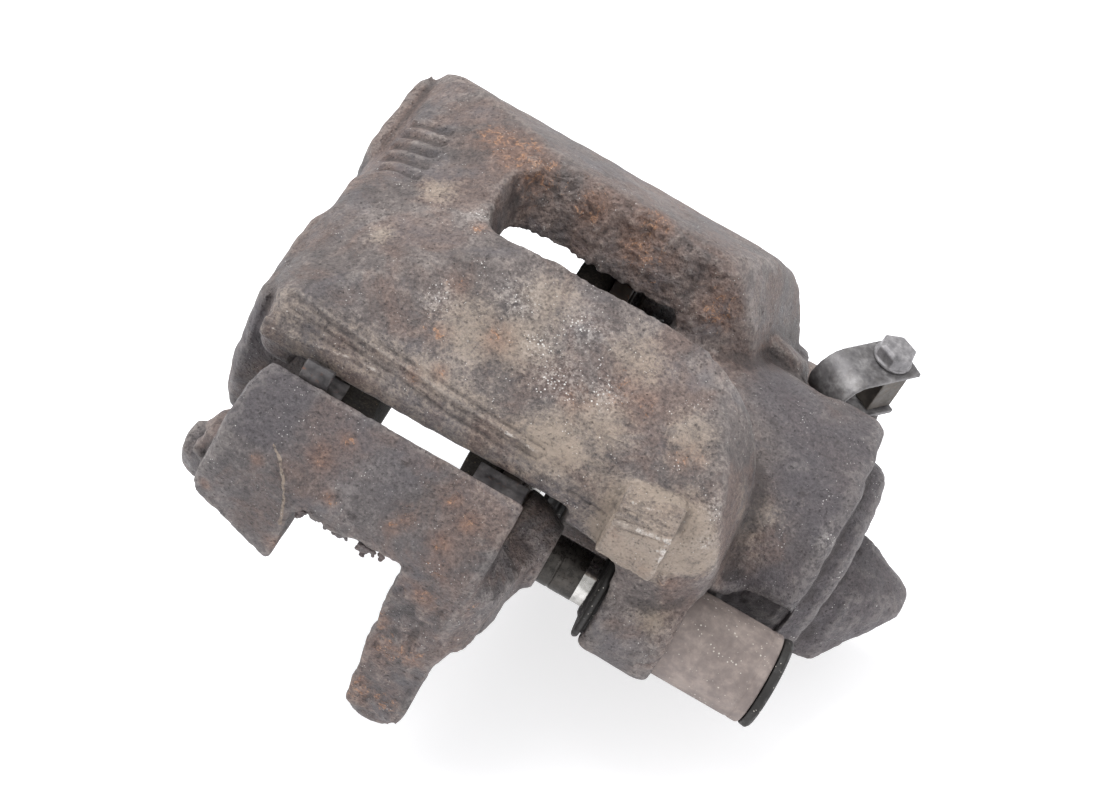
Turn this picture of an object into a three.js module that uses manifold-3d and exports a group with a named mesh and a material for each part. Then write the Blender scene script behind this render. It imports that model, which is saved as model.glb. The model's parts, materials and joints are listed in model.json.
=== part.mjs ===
import * as THREE from 'three';
import { ConvexGeometry } from 'three/addons/geometries/ConvexGeometry.js';
import { mergeVertices } from 'three/addons/utils/BufferGeometryUtils.js';
import Module from 'manifold-3d';

// Single-piston floating brake caliper on its anchor bracket, pads fitted. Millimetres, +Z up.
// X is the disc axis (+X inboard, towards the car), Y runs along the disc's rim, Z is radially outward.
// Everything below is laid out from the piston axis (Y = 0, Z = 0); the group is then moved
// so that its origin is the middle of the bracket's mounting face.

const wasm = await Module();
wasm.setup();

// ---- driving dimensions -------------------------------------------------------------------
const MOUNT_FACE = 22;            // X of the bracket's mounting face
const MOUNT_Z = -47.5;            // height of the mounting bolts below the piston axis
const MOUNT_Y = 74;               // half the mounting bolt spacing
const MOUNT_HOLE_R = 6.1;

const DISC_CENTRE_Z = -105;       // disc centre below the piston axis
const BRIDGE_CLEAR_R = 142.5;     // underside of the housing's bridge
const ARM_CLEAR_R = 139;          // underside of the bracket's bridges
const ARM_TOP_R = 148;
const FAR_ARM_CLEAR_R = 136.8;
const FAR_ARM_TOP_R = 142;

const HALF_WIDTH = 60;            // housing, half width over the bridge
const WINDOW_TOP = [62, 20.1];      // inspection window: height and half width above
const WINDOW_FOOT = [30, 5.4];      // and below, its walls drawn in by the casting draft
const FINGER_OUT = -61;           // outboard face of the fingers
const FINGER_IN = -41;            // face that presses the outer pad
const BODY_FRONT = 31.9;          // mouth of the cylinder
const BODY_BACK = 97;             // end of the full section
const BODY_END = 104;             // closed end

const PISTON_R = 27;
const BORE_R = 27.07;
const PISTON_FRONT = 19.9;
const PISTON_BACK = 72;
const BORE_BOTTOM = 77;

const GUIDE_Y = 50;               // guide pins either side of the piston
const GUIDE_Z = -5.5;
const PIN_R = 7;
const BUSH_BORE_R = 7.05;
const BUSH_R = 12.85;
const BOSS_R = 16;
const BOSS_X = [51, 72];
const LIP_X = 47.6;               // front of the guide bushes

const LINING_OUTER = [-33.7, -23.4];
const LINING_INNER = [2.8, 12.7];
const PLATE_OUTER = [-39.5, -34];
const PLATE_INNER = [13, 18.5];

// ---- helpers ------------------------------------------------------------------------------
function toSolid(geometry) {
  const g = geometry.clone();
  g.deleteAttribute('normal');
  g.deleteAttribute('uv');
  const merged = mergeVertices(g, 1e-4);
  const triVerts = new Uint32Array(merged.index.array);
  const p = merged.attributes.position;
  const [a, b, c] = [new THREE.Vector3(), new THREE.Vector3(), new THREE.Vector3()];
  let volume = 0;
  for (let i = 0; i < triVerts.length; i += 3) {
    a.fromBufferAttribute(p, triVerts[i]);
    b.fromBufferAttribute(p, triVerts[i + 1]);
    c.fromBufferAttribute(p, triVerts[i + 2]);
    volume += a.dot(b.cross(c));
  }
  if (volume < 0)
    for (let i = 0; i < triVerts.length; i += 3)
      [triVerts[i + 1], triVerts[i + 2]] = [triVerts[i + 2], triVerts[i + 1]];
  return new wasm.Manifold(
    new wasm.Mesh({ numProp: 3, vertProperties: new Float32Array(p.array), triVerts }),
  );
}

function toGeometry(solid) {
  const mesh = solid.getMesh();
  const g = new THREE.BufferGeometry();
  g.setAttribute('position', new THREE.BufferAttribute(new Float32Array(mesh.vertProperties), 3));
  g.setIndex(new THREE.BufferAttribute(new Uint32Array(mesh.triVerts), 1));
  const flat = g.toNonIndexed();
  flat.computeVertexNormals();
  return flat;
}

const union = (...solids) => solids.flat(2).reduce((a, b) => a.add(b));
const cut = (solid, ...tools) => tools.flat(2).reduce((a, b) => a.subtract(b), solid);
const common = (...solids) => solids.reduce((a, b) => a.intersect(b));

// Closed outline through the points, corners eased by radius (or by a third value on the point).
function outline(points, radius = 0) {
  const s = new THREE.Shape();
  const n = points.length;
  for (let i = 0; i < n; i++) {
    const p = new THREE.Vector2(points[i][0], points[i][1]);
    const r = points[i][2] ?? radius;
    const before = new THREE.Vector2(...points[(i + n - 1) % n].slice(0, 2)).sub(p);
    const after = new THREE.Vector2(...points[(i + 1) % n].slice(0, 2)).sub(p);
    const from = p.clone().add(before.clone().setLength(Math.min(r, before.length() * 0.45)));
    const to = p.clone().add(after.clone().setLength(Math.min(r, after.length() * 0.45)));
    if (i === 0) s.moveTo(from.x, from.y);
    else s.lineTo(from.x, from.y);
    if (r > 0) s.quadraticCurveTo(p.x, p.y, to.x, to.y);
  }
  s.closePath();
  return s;
}

const extruded = (shape, depth) =>
  new THREE.ExtrudeGeometry(shape, { depth, bevelEnabled: false, steps: 1, curveSegments: 2 });

// Outline given in (Y, Z), run from x0 to x1.
function alongX(points, x0, x1, radius = 0) {
  const g = extruded(outline(points, radius), x1 - x0);
  g.applyMatrix4(new THREE.Matrix4().set(0, 0, 1, x0, 1, 0, 0, 0, 0, 1, 0, 0, 0, 0, 0, 1));
  return toSolid(g);
}

// Outline given in (X, Z), run from y0 to y1.
function alongY(points, y0, y1, radius = 0) {
  const g = extruded(outline(points, radius), y1 - y0);
  g.rotateX(Math.PI / 2);
  g.translate(0, y1, 0);
  return toSolid(g);
}

// Outline given in (X, Y), run from z0 to z1.
function alongZ(points, z0, z1, radius = 0) {
  const g = extruded(outline(points, radius), z1 - z0);
  g.translate(0, 0, z0);
  return toSolid(g);
}

function box(x0, x1, y0, y1, z0, z1) {
  const g = new THREE.BoxGeometry(x1 - x0, y1 - y0, z1 - z0);
  g.translate((x0 + x1) / 2, (y0 + y1) / 2, (z0 + z1) / 2);
  return toSolid(g);
}

function rodX(r, x0, x1, y, z, segments = 32, r2 = r) {
  const g = new THREE.CylinderGeometry(r2, r, x1 - x0, segments);
  g.rotateZ(-Math.PI / 2);
  g.translate((x0 + x1) / 2, y, z);
  return toSolid(g);
}

function rodZ(r, z0, z1, x, y, segments = 28, r2 = r) {
  const g = new THREE.CylinderGeometry(r2, r, z1 - z0, segments);
  g.rotateX(Math.PI / 2);
  g.translate(x, y, (z0 + z1) / 2);
  return toSolid(g);
}

// Profile of (x, r) points turned about an axis along X through (y, z).
function turnedX(profile, y, z, segments = 40) {
  const g = new THREE.LatheGeometry(profile.map(([x, r]) => new THREE.Vector2(r, x)), segments);
  g.rotateZ(-Math.PI / 2);
  g.translate(0, y, z);
  return toSolid(g);
}

function hull(points) {
  return toSolid(new ConvexGeometry(points.map((p) => new THREE.Vector3(...p))));
}

// The same solid on the other side of the Y = 0 plane.
function mirrored(solid) {
  const g = toGeometry(solid);
  g.scale(1, -1, 1);
  return toSolid(g);
}

const onRim = (r, y) => Math.sqrt(r * r - y * y) + DISC_CENTRE_Z;

// ---- materials ----------------------------------------------------------------------------
const mat = (color, metalness, roughness) =>
  new THREE.MeshStandardMaterial({ color, metalness, roughness });
const castIron = () => mat(0x6a6159, 0.35, 0.85);
const rustyIron = () => mat(0x74604f, 0.3, 0.9);
const chromePlate = () => mat(0xc9c9c6, 1.0, 0.2);
const steel = () => mat(0x8b867e, 0.8, 0.5);
const darkRubber = () => mat(0x2b2a29, 0.0, 0.85);

const group = new THREE.Group();
group.name = 'brake_caliper';

function place(name, solid, material) {
  const g = toGeometry(solid);
  g.translate(-MOUNT_FACE, 0, -MOUNT_Z);
  const mesh = new THREE.Mesh(g, material);
  mesh.name = name;
  group.add(mesh);
}

// ---- housing ------------------------------------------------------------------------------
// Bridge: side view, section and plan view taken together.
const bridgeSide = union(
  alongY([
    [-61, 17.5], [-61, 31.5], [-57, 37.5, 4], [-45, 44, 6], [-28, 51, 6], [-10, 56.5, 6], [6, 58.5, 6],
    [38, 58.5, 6], [48, 56, 5], [57, 50.5, 5], [64.5, 43, 5], [70, 33, 5], [73, 22, 5], [74, 8, 3],
    [74, -8], [50.5, -8], [50.5, 12, 3], [46, 17.5, 3], [33, 20, 3], [30, 13], [-38, 13], [-43, 17.5],
  ], -66, 0.01),
  alongY([
    [-60, 17.5], [-60, 28], [-56, 36, 4], [-45, 43.5, 6], [-28, 51, 6], [-10, 56.5, 6], [6, 58.5, 6],
    [32, 58.3, 8], [41, 54.5, 8], [48, 47.5, 8], [53.5, 38.5, 7], [58.5, 27, 6], [65, 15, 5], [70, 4, 3],
    [70, -8], [50.5, -8], [50.5, 10, 3], [46, 15, 3], [33, 18, 3], [30, 13], [-38, 13], [-43, 17.5],
  ], 0, 66),
);
const bridgeSection = alongX([
  [-60, -20], [-60, 33, 3], [-57, 38.5, 4], [-48, 44, 5], [-34, 51, 6], [-19, 57, 4], [-14, 59.5, 4],
  [14, 59.5, 4], [19, 56.5, 4], [34, 49, 6], [48, 40.5, 5], [56, 33, 4], [59, 27.5, 3], [59, -20],
], -70, 90);
const bridgePlan = alongZ([
  [-61, -47, 4], [-56, -60, 4], [60, -60, 4], [74, -54, 8], [76, 0], [74, 54, 8], [60, 60, 4], [-55, 60, 4], [-60, 52, 4],
], -30, 80);
// The window narrows downwards; inboard it opens into the valley over the cylinder.
const across = (x, y, z) => [[x, -y, z], [x, y, z]];
const [topZ, topY] = WINDOW_TOP;
const [footZ, footY] = WINDOW_FOOT;
const windowSlot = hull([
  ...across(-15.5, 2.5, footZ), ...across(-12, footY, footZ), ...across(42, footY, footZ),
  ...across(-28, 10, topZ), ...across(-25.6, 16.4, topZ), ...across(-20, topY, topZ), ...across(42, topY, topZ),
]);
const windowMouth = union(
  hull([...across(41.9, footY, footZ), ...across(60, 14, footZ), ...across(41.9, topY, topZ), ...across(60, 25, topZ)]),
  hull([...across(59.9, 14, footZ), ...across(82, 32, footZ), ...across(59.9, 25, topZ), ...across(82, 42, topZ)]),
);
let bridge = common(bridgeSide, bridgeSection, bridgePlan);
bridge = cut(
  bridge,
  rodX(BRIDGE_CLEAR_R, FINGER_IN, BODY_FRONT + 0.1, 0, DISC_CENTRE_Z, 96),
  // room beside the fingers for the pad ears and their rail clips
  [-1, 1].map((s) => alongY([[-47, 5], [-47, 20, 3], [-45, 25.6], [-38, 25.6], [-38, 5]], ...(s < 0 ? [-70, -53] : [53, 70]))),
  windowSlot, windowMouth,
);

// Fingers behind the outer pad, parted by the opening the cylinder was bored through.
const fingers = cut(
  union(
    alongX([
      [-52, 26], [-52, -2, 6], [-45, -22, 8], [-36, -31, 5], [-17, -31, 3], [17, -31, 3], [36, -31, 5],
      [45, -22, 8], [52, -2, 6], [52, 26],
    ], FINGER_OUT, FINGER_IN),
    [-1, 1].map((s) =>
      hull([
        [-60.5, s * 54, 31], [-60.5, s * 52, -4], [-60.5, s * 42, -25], [-60.5, s * 19, -28], [-60.5, s * 15, -10], [-60.5, s * 15, 31],
        [-63.6, s * 50, 29], [-63.6, s * 48, -3], [-63.6, s * 39, -21], [-63.6, s * 23, -23], [-63.6, s * 19, -6], [-63.6, s * 19, 29],
      ])),
  ),
  alongX([[-14.5, -40], [-14.5, 10, 12], [0, 25, 9], [14.5, 10, 12], [14.5, -40]], -70, FINGER_IN + 1),
);

// Cylinder body: eight-sided casting, stepped down to the closed end.
const bodySection = (k, dz = 0) => [
  [-35.5 * k, 11 * k + dz, 4 * k], [-27 * k, 25 * k + dz, 5 * k], [-14 * k, 33.5 * k + dz, 6 * k], [14 * k, 33.5 * k + dz, 6 * k],
  [27 * k, 25 * k + dz, 5 * k], [35.5 * k, 11 * k + dz, 4 * k], [35.5 * k, -13 * k + dz, 8 * k], [17 * k, -34.5 * k + dz, 10 * k],
  [-17 * k, -34.5 * k + dz, 10 * k], [-35.5 * k, -13 * k + dz, 8 * k],
];
const bodyEnd = hull([
  ...bodySection(0.84, -3).map(([y, z]) => [BODY_BACK - 3, y, z]),
  ...bodySection(0.8, -4).map(([y, z]) => [BODY_END - 1.5, y, z]),
  ...bodySection(0.75, -4.5).map(([y, z]) => [BODY_END, y, z]),
]);
const body = union(
  alongX(bodySection(1), BODY_FRONT, BODY_BACK - 3),
  hull([
    ...bodySection(1).map(([y, z]) => [BODY_BACK - 3.2, y, z]),
    ...bodySection(0.95).map(([y, z]) => [BODY_BACK, y, z]),
  ]),
  bodyEnd,
);

// Rear boss that takes the brake hose.
const rearBoss = hull([
  [100, -21, -4], [100, -21, -24], [100, -4, -30], [100, 14, -28], [100, 18, -6], [100, 12, 3], [100, -14, 3],
  [110.5, -20, -7], [110.5, -19, -24], [110.5, -4, -29], [110.5, 13, -28], [110.5, 16, -8], [110.5, 11, 0], [110.5, -13, 0],
  [124, -3, -9], [124, 0, -15], [124, 7, -21], [124, 13, -20], [124, 14, -12], [124, 9, -6], [124, 1, -6],
  [127, 2, -10.5], [127, 4, -14], [127, 9, -16.5], [127, 11, -13], [127, 9, -9], [127, 4, -8.5],
]);

// Guide bosses and the webs that join them to the cylinder.
const boss = (s) => union(
  turnedX([[BOSS_X[0], 0], [BOSS_X[0], BOSS_R - 1.5], [BOSS_X[0] + 1.5, BOSS_R], [BOSS_X[1] - 3, BOSS_R], [BOSS_X[1], BOSS_R - 1.2], [BOSS_X[1], 0]],
    s * GUIDE_Y, GUIDE_Z, 32),
  alongZ([[52, s * 20], [52, s * 48], [70, s * 48], [84, s * 34], [84, s * 20]], -19, 8),
);

// Block at the inboard end of the near arm.
const endBlock = hull([
  [42.4, -55, 17.5], [42.6, -64.6, 21.5], [42.8, -65.6, 24.5], [42.8, -65.6, 34.4], [42, -60.5, 39.5], [42, -55, 42],
  [57.8, -55, 18], [58, -65, 21.5], [58.2, -65.8, 24.5], [57.6, -65.6, 38.3], [57, -60.5, 41.6], [57, -54, 43],
]);

// The hose clip turns about its bolt; clipped() carries a solid from the clip's own axes to its place.
const CLIP = { x: 90.5, y: 49.5, z: 19, r: 7.8, t: 1.5, loop: 12, turn: THREE.MathUtils.degToRad(-38) };
function clipped(solid) {
  const g = toGeometry(solid);
  g.rotateZ(CLIP.turn);
  g.translate(CLIP.x, CLIP.y, CLIP.z);
  return toSolid(g);
}

// Lug for the hose clip, on the far flank of the cylinder.
const clipLug = hull([
  [79, 28, -8], [79, 28, 12], [96, 28, 12], [96, 28, -8],
  [83, 53, 1], [83, 53, 10.2], [96, 53, 10.2], [96, 53, 1], [85, 57, 4], [85, 57, 10.2], [96, 57, 10.2], [96, 57, 4],
]);

// Bleed boss, low on the far flank.
const BLEED_AT = new THREE.Vector3(90, 24, -27);
const BLEED_AXIS = new THREE.Vector3(0, 0.5, -0.8660254).normalize();
function turnedBleed(profile, segments = 24) {
  const g = new THREE.LatheGeometry(profile.map(([h, r]) => new THREE.Vector2(r, h)), segments);
  g.applyQuaternion(new THREE.Quaternion().setFromUnitVectors(new THREE.Vector3(0, 1, 0), BLEED_AXIS));
  g.translate(BLEED_AT.x, BLEED_AT.y, BLEED_AT.z);
  return toSolid(g);
}
const bleedBoss = turnedBleed([[-12, 0], [-12, 9], [2, 8], [6, 7.6], [6, 0]]);

let housing = union(
  bridge, fingers, body, rearBoss, boss(-1), boss(1), endBlock, clipLug, bleedBoss,
  // fillets between the bridge arms and the cylinder, either side of the valley
  [-1, 1].map((s) => hull([
    [33, s * 20, 26], [33, s * 42, 18], [33, s * 42, 30], [33, s * 20, 34],
    [78, s * 30, 10], [78, s * 38, 2], [72, s * 46, 14], [66, s * 28, 30],
  ])),
  // raised line along the near side face of the bridge
  hull([
    [-58, -59.5, 23.5], [-58, -61.3, 24.5], [-58, -61.3, 30.5], [-58, -59.5, 32],
    [28, -59.5, 26], [28, -61.3, 27], [28, -61.3, 31.5], [28, -59.5, 33],
  ]),
);
housing = cut(
  housing,
  // cylinder bore with its seal and boot grooves
  turnedX([
    [BODY_FRONT - 1, 0], [BODY_FRONT - 1, 30.4], [BODY_FRONT + 2.4, 30.4], [BODY_FRONT + 2.4, BORE_R], [40, BORE_R], [40, 30.9],
    [46, 30.9], [46, BORE_R], [BORE_BOTTOM, BORE_R], [BORE_BOTTOM, 0],
  ], 0, 0, 48),
  // guide bush bores, and room for the near bush behind its boss
  rodX(BUSH_R + 0.25, BOSS_X[0] - 9, 130, -GUIDE_Y, GUIDE_Z),
  rodX(BUSH_R + 0.25, BOSS_X[0] - 9, 130, GUIDE_Y, GUIDE_Z),
  [-1, 1].map((side) => rodX(15.6, 38, BOSS_X[0] - 0.02, side * GUIDE_Y, GUIDE_Z)),
  rodX(BUSH_R + 1.4, BOSS_X[1] + 0.02, 130, -GUIDE_Y, GUIDE_Z),
  rodX(BUSH_R + 1.4, BOSS_X[1] + 0.02, 78.5, GUIDE_Y, GUIDE_Z),
  // saddle for the hose clip's loop
  clipped(rodX(9.0, -7.6, 7.6, -12, 0, 32)),
  clipped(box(-7.6, 7.6, -12, 12, -9.0, 9.0)),
  // hose port
  rodZ(5, -40, -16, 110, 0, 24),
  rodX(1.6, 70, 110, 0, -19, 12),
  // tapped holes for the bleed screw and the clip bolt
  turnedBleed([[-11, 0], [-8, 3.8], [7, 3.8], [7, 0]]),
  rodZ(3.3, -4, 14, CLIP.x, CLIP.y, 20),
);
place('caliper_housing', housing, castIron());

// ---- bracket ------------------------------------------------------------------------------
const armYs = [-67.5, -70, -74, -78, -82, -87];
const armSection = [
  ...armYs.map((y) => [y, onRim(ARM_CLEAR_R, y)]),
  ...[...armYs].reverse().map((y) => [y, onRim(ARM_TOP_R, y) - (y < -84 ? 2.5 : 0), y < -84 ? 3 : 0]),
];
const legSection = [
  [-67.5, -60], [-87, -60], [-87, onRim(ARM_TOP_R, -87) - 2.5, 3], ...[-82, -78, -74, -70].map((y) => [y, onRim(ARM_TOP_R, y)]), [-67.5, onRim(ARM_TOP_R, -67.5)],
];
const nearArm = alongX(armSection, -46, 20);
// Outboard leg, narrowing to its foot.
const outLeg = common(
  alongX(legSection, -60, -20),
  alongY([[-54, -9, 3], [-28, -19.5, 2], [-28, 40], [-45, 40], [-50, 26, 6], [-53, 20, 6]], -90, -60),
);
// Pad ledges, outboard and inboard.
const outLedge = alongX([[-68, 3.3], [-57, 3.3], [-57, -8, 3], [-68, -17, 2]], -49, -29);
const inLedge = alongX([[-68, 3.3], [-57, 3.3], [-57, -40], [-68, -44]], 5, 22);
// Inboard limb, running down to the mounting ear.
const inLimb = common(
  alongX([
    [-67.5, -20], [-60, -34, 6], [-60, -61.5, 9], [-85, -61.5, 8], [-87, -30, 8], [-87, onRim(ARM_TOP_R, -87) - 2.5, 3],
    ...[-82, -78, -74, -70].map((y) => [y, onRim(ARM_TOP_R, y)]), [-67.5, onRim(ARM_TOP_R, -67.5)],
  ], -10, MOUNT_FACE),
  alongY([[3.2, 40], [3.2, -10, 6], [4.6, -38, 6], [6, -54, 4], [10, -60.5, 3], [15, -61.5, 3], [19.5, -58.5, 3], [22, -52, 3], [22, 40]], -90, -50),
);
// Boss that holds the guide pin.
const pinBoss = union(
  turnedX([[21.4, 0], [21.4, 14], [26, 13.2], [34, 9.2], [34, 0]], -GUIDE_Y, GUIDE_Z, 32),
  hull([
    [21.4, -76, -22], [21.4, -76, 8], [21.4, -60, -20], [21.4, -60, 7], [30, -64, -15], [30, -64, 2], [33, -54, -12], [33, -54, 0],
    [26, -78, -16], [26, -78, 3], [21.4, -47, -17], [21.4, -47, 6],
  ]),
  hull([
    [12, -86, -26], [12, -86, 8], [12, -67.7, -26], [12, -67.7, 8], [22, -86, -24], [22, -86, 8], [22, -67.7, -26], [22, -67.7, 10],
    [28, -80, -16], [28, -80, 2], [30, -68, -16], [30, -68, 3],
  ]),
);
const tieBar = (() => {
  const path = new THREE.CatmullRomCurve3(
    [[-74, -6], [-66, -20], [-55, -33], [-40, -41], [-20, -44], [0, -44.5], [20, -44], [40, -41], [55, -33], [66, -20], [74, -6]]
      .map(([y, z]) => new THREE.Vector3(-56.5, y, z)),
  );
  const g = new THREE.ExtrudeGeometry(
    outline([[-5.5, -5.5], [5.5, -5.5], [5.5, 5.5], [-5.5, 5.5]], 3.5),
    { steps: 22, bevelEnabled: false, extrudePath: path, curveSegments: 2 },
  );
  return toSolid(g);
})();
const halfBracket = union(
  nearArm, outLeg, outLedge, inLedge, inLimb, pinBoss,
  hull([[-57, -78, -16], [-57, -68, -18], [-57, -70, 4], [-57, -80, 4], [-50, -80, -13], [-50, -66, -17], [-50, -68, 8], [-50, -82, 8]]),
);
// The far side is lower and shallower over the disc than the near one.
const farSide = union(
  common(
    mirrored(halfBracket),
    union(
      common(rodX(FAR_ARM_TOP_R, -80, 60, 0, DISC_CENTRE_Z, 120), box(-90, 60, 0, 82, -24, 60)),
      box(-90, 60, 0, 90, -90, -20),
    ),
  ),
  alongX([
    ...[67.5, 71, 75, 79, 81.9].map((y) => [y, onRim(FAR_ARM_CLEAR_R, y)]),
    ...[81.9, 79, 75, 71, 67.5].map((y) => [y, onRim(FAR_ARM_TOP_R, y) - 0.2]),
  ], -46, 20),
);
let bracket = union(
  halfBracket,
  farSide,
  tieBar,
  // inboard cross beam
  alongX([[-72, -57, 6], [-72, -36], [-52, -33, 8], [-30, -38, 10], [30, -38, 10], [52, -33, 8], [72, -36], [72, -57, 6]], 6, MOUNT_FACE),
);
bracket = cut(
  bracket,
  [-1, 1].map((s) => [
    rodX(MOUNT_HOLE_R, 0, 30, s * MOUNT_Y, MOUNT_Z, 32),
    // tapped hole for the guide pin's end
    rodX(5.6, 18, 29, s * GUIDE_Y, GUIDE_Z, 24),
    rodX(PIN_R + 0.3, 28, 40, s * GUIDE_Y, GUIDE_Z, 40),
  ]).flat(),
  // the piston's side of the ledges is scalloped clear of the cylinder mouth
  rodX(39, 16, 60, 0, 0, 48),
);
place('caliper_bracket', bracket, rustyIron());

// ---- piston, seal and boot ----------------------------------------------------------------
place('caliper_piston', turnedX([
  [PISTON_FRONT, 22], [PISTON_FRONT, PISTON_R - 1], [PISTON_FRONT + 1, PISTON_R], [PISTON_FRONT + 4, PISTON_R], [PISTON_FRONT + 4, PISTON_R - 1.6],
  [PISTON_FRONT + 7, PISTON_R - 1.6], [PISTON_FRONT + 7, PISTON_R], [PISTON_BACK - 1.5, PISTON_R], [PISTON_BACK, PISTON_R - 1.5], [PISTON_BACK, 0],
  [PISTON_BACK - 8, 0], [PISTON_BACK - 8, 18], [PISTON_BACK - 12, 22], [PISTON_FRONT, 22],
], 0, 0, 48), chromePlate());

place('piston_seal', turnedX([
  [40.3, BORE_R], [45.7, BORE_R], [45.7, 30.6], [40.3, 30.6], [40.3, BORE_R],
], 0, 0, 48), darkRubber());

place('piston_dust_boot', turnedX([
  [25.2, 27.4], [26.4, 27.4], [27.8, 29.2], [29.2, 27.6], [30.8, 28.3], [34, 28.3],
  [34, 30.1], [30.6, 30.1], [29.6, 31.4], [28, 30.6], [26.4, 31], [25.2, 27.4],
], 0, 0, 32), darkRubber());

// ---- guides -------------------------------------------------------------------------------
const guides = [
  ['near', -1, 98, 84],
  ['far', 1, 75.5, 61.5],
];
for (const [side, s, bushEnd, pinEnd] of guides) {
  place(`guide_pin_${side}`, turnedX([
    [21.8, 0], [21.8, 4.4], [22.8, 5.2], [28.4, 5.2], [28.4, 6.2], [29, PIN_R], [pinEnd - 1, PIN_R], [pinEnd, PIN_R - 1], [pinEnd, 4.2],
    [pinEnd - 6, 4.2], [pinEnd - 7.5, 0],
  ], s * GUIDE_Y, GUIDE_Z, 32), chromePlate());
  place(`guide_bush_${side}`, turnedX([
    [LIP_X, BUSH_BORE_R], [LIP_X, 8.6], [LIP_X + 0.7, 9.4], [LIP_X + 1.3, 14.2], [LIP_X + 2.1, 14.8], [LIP_X + 3.1, 14.2], [LIP_X + 3.1, BUSH_R], [bushEnd - 0.6, BUSH_R], [bushEnd, BUSH_R - 0.6],
    [bushEnd, 9.6], [bushEnd - 7, 9.6], [bushEnd - 8, BUSH_BORE_R], [LIP_X, BUSH_BORE_R],
  ], s * GUIDE_Y, GUIDE_Z, 32), darkRubber());
  place(`bush_cap_${side}`, turnedX([
    [bushEnd - 6.4, 0], [bushEnd - 6.4, 9], [bushEnd + 0.3, 9.3], [bushEnd + 0.3, 12.6], [bushEnd + 2.2, 12.9], [bushEnd + 3, 12],
    [bushEnd + 2.6, 0],
  ], s * GUIDE_Y, GUIDE_Z, 32), darkRubber());
}

// ---- pads ---------------------------------------------------------------------------------
const plateOutline = [
  [-56.4, 4.9], [-56.4, -20, 5], [-49, -28, 5], [49, -28, 5], [56.4, -20, 5], [56.4, 4.9], [66, 4.9, 1.2], [66, 21.2, 1.5],
  [58, 21.2, 2], [52, 24, 3], [30, 28, 4], [0, 30, 6], [-30, 28, 4], [-52, 24, 3], [-58, 21.2, 2], [-66, 21.2, 1.5], [-66, 4.9, 1.2],
];
const liningOutline = [
  [-50, -20, 4], [-44, -26, 4], [44, -26, 4], [50, -20, 4], [50, 14, 3], [44, 22, 4], [20, 26, 6], [-20, 26, 6], [-44, 22, 4], [-50, 14, 3],
];
// Narrower than the outer shim, so that it passes between the bracket's guide pin bosses.
const innerShimOutline = [
  [-34, -18, 5], [-29, -25, 5], [29, -25, 5], [34, -18, 5], [34, 14, 3], [29, 21, 4], [0, 26, 8], [-29, 21, 4], [-34, 14, 3],
];
const shimOutline = [
  [-48, -18, 5], [-42, -25, 5], [42, -25, 5], [48, -18, 5], [48, 14, 3], [42, 21, 4], [0, 26, 8], [-42, 21, 4], [-48, 14, 3],
];
function lining(x0, x1, wornAt) {
  const open = wornAt < (x0 + x1) / 2 ? [x0 - 1, x0 + 6] : [x1 - 6, x1 + 1];
  return cut(alongX(liningOutline, x0, x1), box(open[0], open[1], -1.6, 1.6, -40, 40));
}
place('inner_pad_plate', cut(alongX(plateOutline, ...PLATE_INNER), rodX(3.4, 10, 20, 0, 0, 20)), steel());
place('inner_pad_lining', lining(...LINING_INNER, LINING_INNER[0]), mat(0x3a3531, 0.1, 0.95));
place('inner_pad_shim', cut(alongX(innerShimOutline, 18.8, 19.6), rodX(13, 18, 21, 0, 0, 32)), steel());
place('outer_pad_plate', cut(alongX(plateOutline, ...PLATE_OUTER), rodX(3.4, -41, -33, 0, 0, 20)), steel());
place('outer_pad_lining', lining(...LINING_OUTER, LINING_OUTER[1]), mat(0x3a3531, 0.1, 0.95));
place('outer_pad_shim', cut(alongX(shimOutline, -40.6, -39.8), rodX(11, -42, -38, 0, 0, 32)), steel());

// Three-legged spring riveted to the inner pad, snapped into the hollow piston.
const springLegs = [90, 210, 330].map((deg) => {
  const a = THREE.MathUtils.degToRad(deg);
  const g = extruded(outline([
    [18.9, 6], [19.9, 6], [20.9, 8.5], [25, 15], [30, 20.4], [34, 19], [34.6, 19.8], [30.2, 21.6], [28.8, 21.2], [24, 16], [20, 9.6], [18.9, 9],
  ]), 7);
  g.translate(0, 0, -3.5);
  g.applyMatrix4(new THREE.Matrix4().set(1, 0, 0, 0, 0, Math.cos(a), -Math.sin(a), 0, 0, Math.sin(a), Math.cos(a), 0, 0, 0, 0, 1));
  return toSolid(g);
});
place('inner_pad_spring', union(
  turnedX([[18.9, 0], [18.9, 10], [19.8, 10], [19.8, 4.6], [21, 4], [21, 0]], 0, 0, 24),
  rodX(3, 14.5, 19, 0, 0, 16),
  springLegs,
), steel());

// Two-legged spring riveted to the outer pad, sprung between the fingers.
place('outer_pad_spring', union(
  turnedX([[-41.6, 0], [-41.6, 4], [-40.8, 8.6], [-39.9, 8.6], [-39.9, 3], [-36, 3], [-36, 0]], 0, 0, 24),
  [-1, 1].map((s) => alongZ([
    [-39.95, s * 3], [-40.8, s * 3], [-41.6, s * 8], [-47.5, s * 12], [-54, s * 10.8], [-54.2, s * 11.8], [-47.4, s * 13.2], [-40.9, s * 9], [-39.95, s * 7],
  ], -5, 5)),
), steel());

// Rail clips between each pad ear and the bracket.
function railClip(x0, x1, s) {
  const c = alongX([
    [-67.2, 3.6], [-57.6, 3.6], [-57.6, 4.5], [-66.4, 4.5], [-66.4, 21.6], [-61, 21.7], [-59, 22.7], [-59.4, 23.4], [-61.2, 22.5], [-67.2, 22.4],
  ], x0, x1);
  return s < 0 ? c : mirrored(c);
}
place('rail_clip_outer_near', railClip(-42.5, -31, -1), steel());
place('rail_clip_outer_far', railClip(-42.5, -31, 1), steel());
place('rail_clip_inner_near', railClip(7, 21, -1), steel());
place('rail_clip_inner_far', railClip(7, 21, 1), steel());

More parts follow.
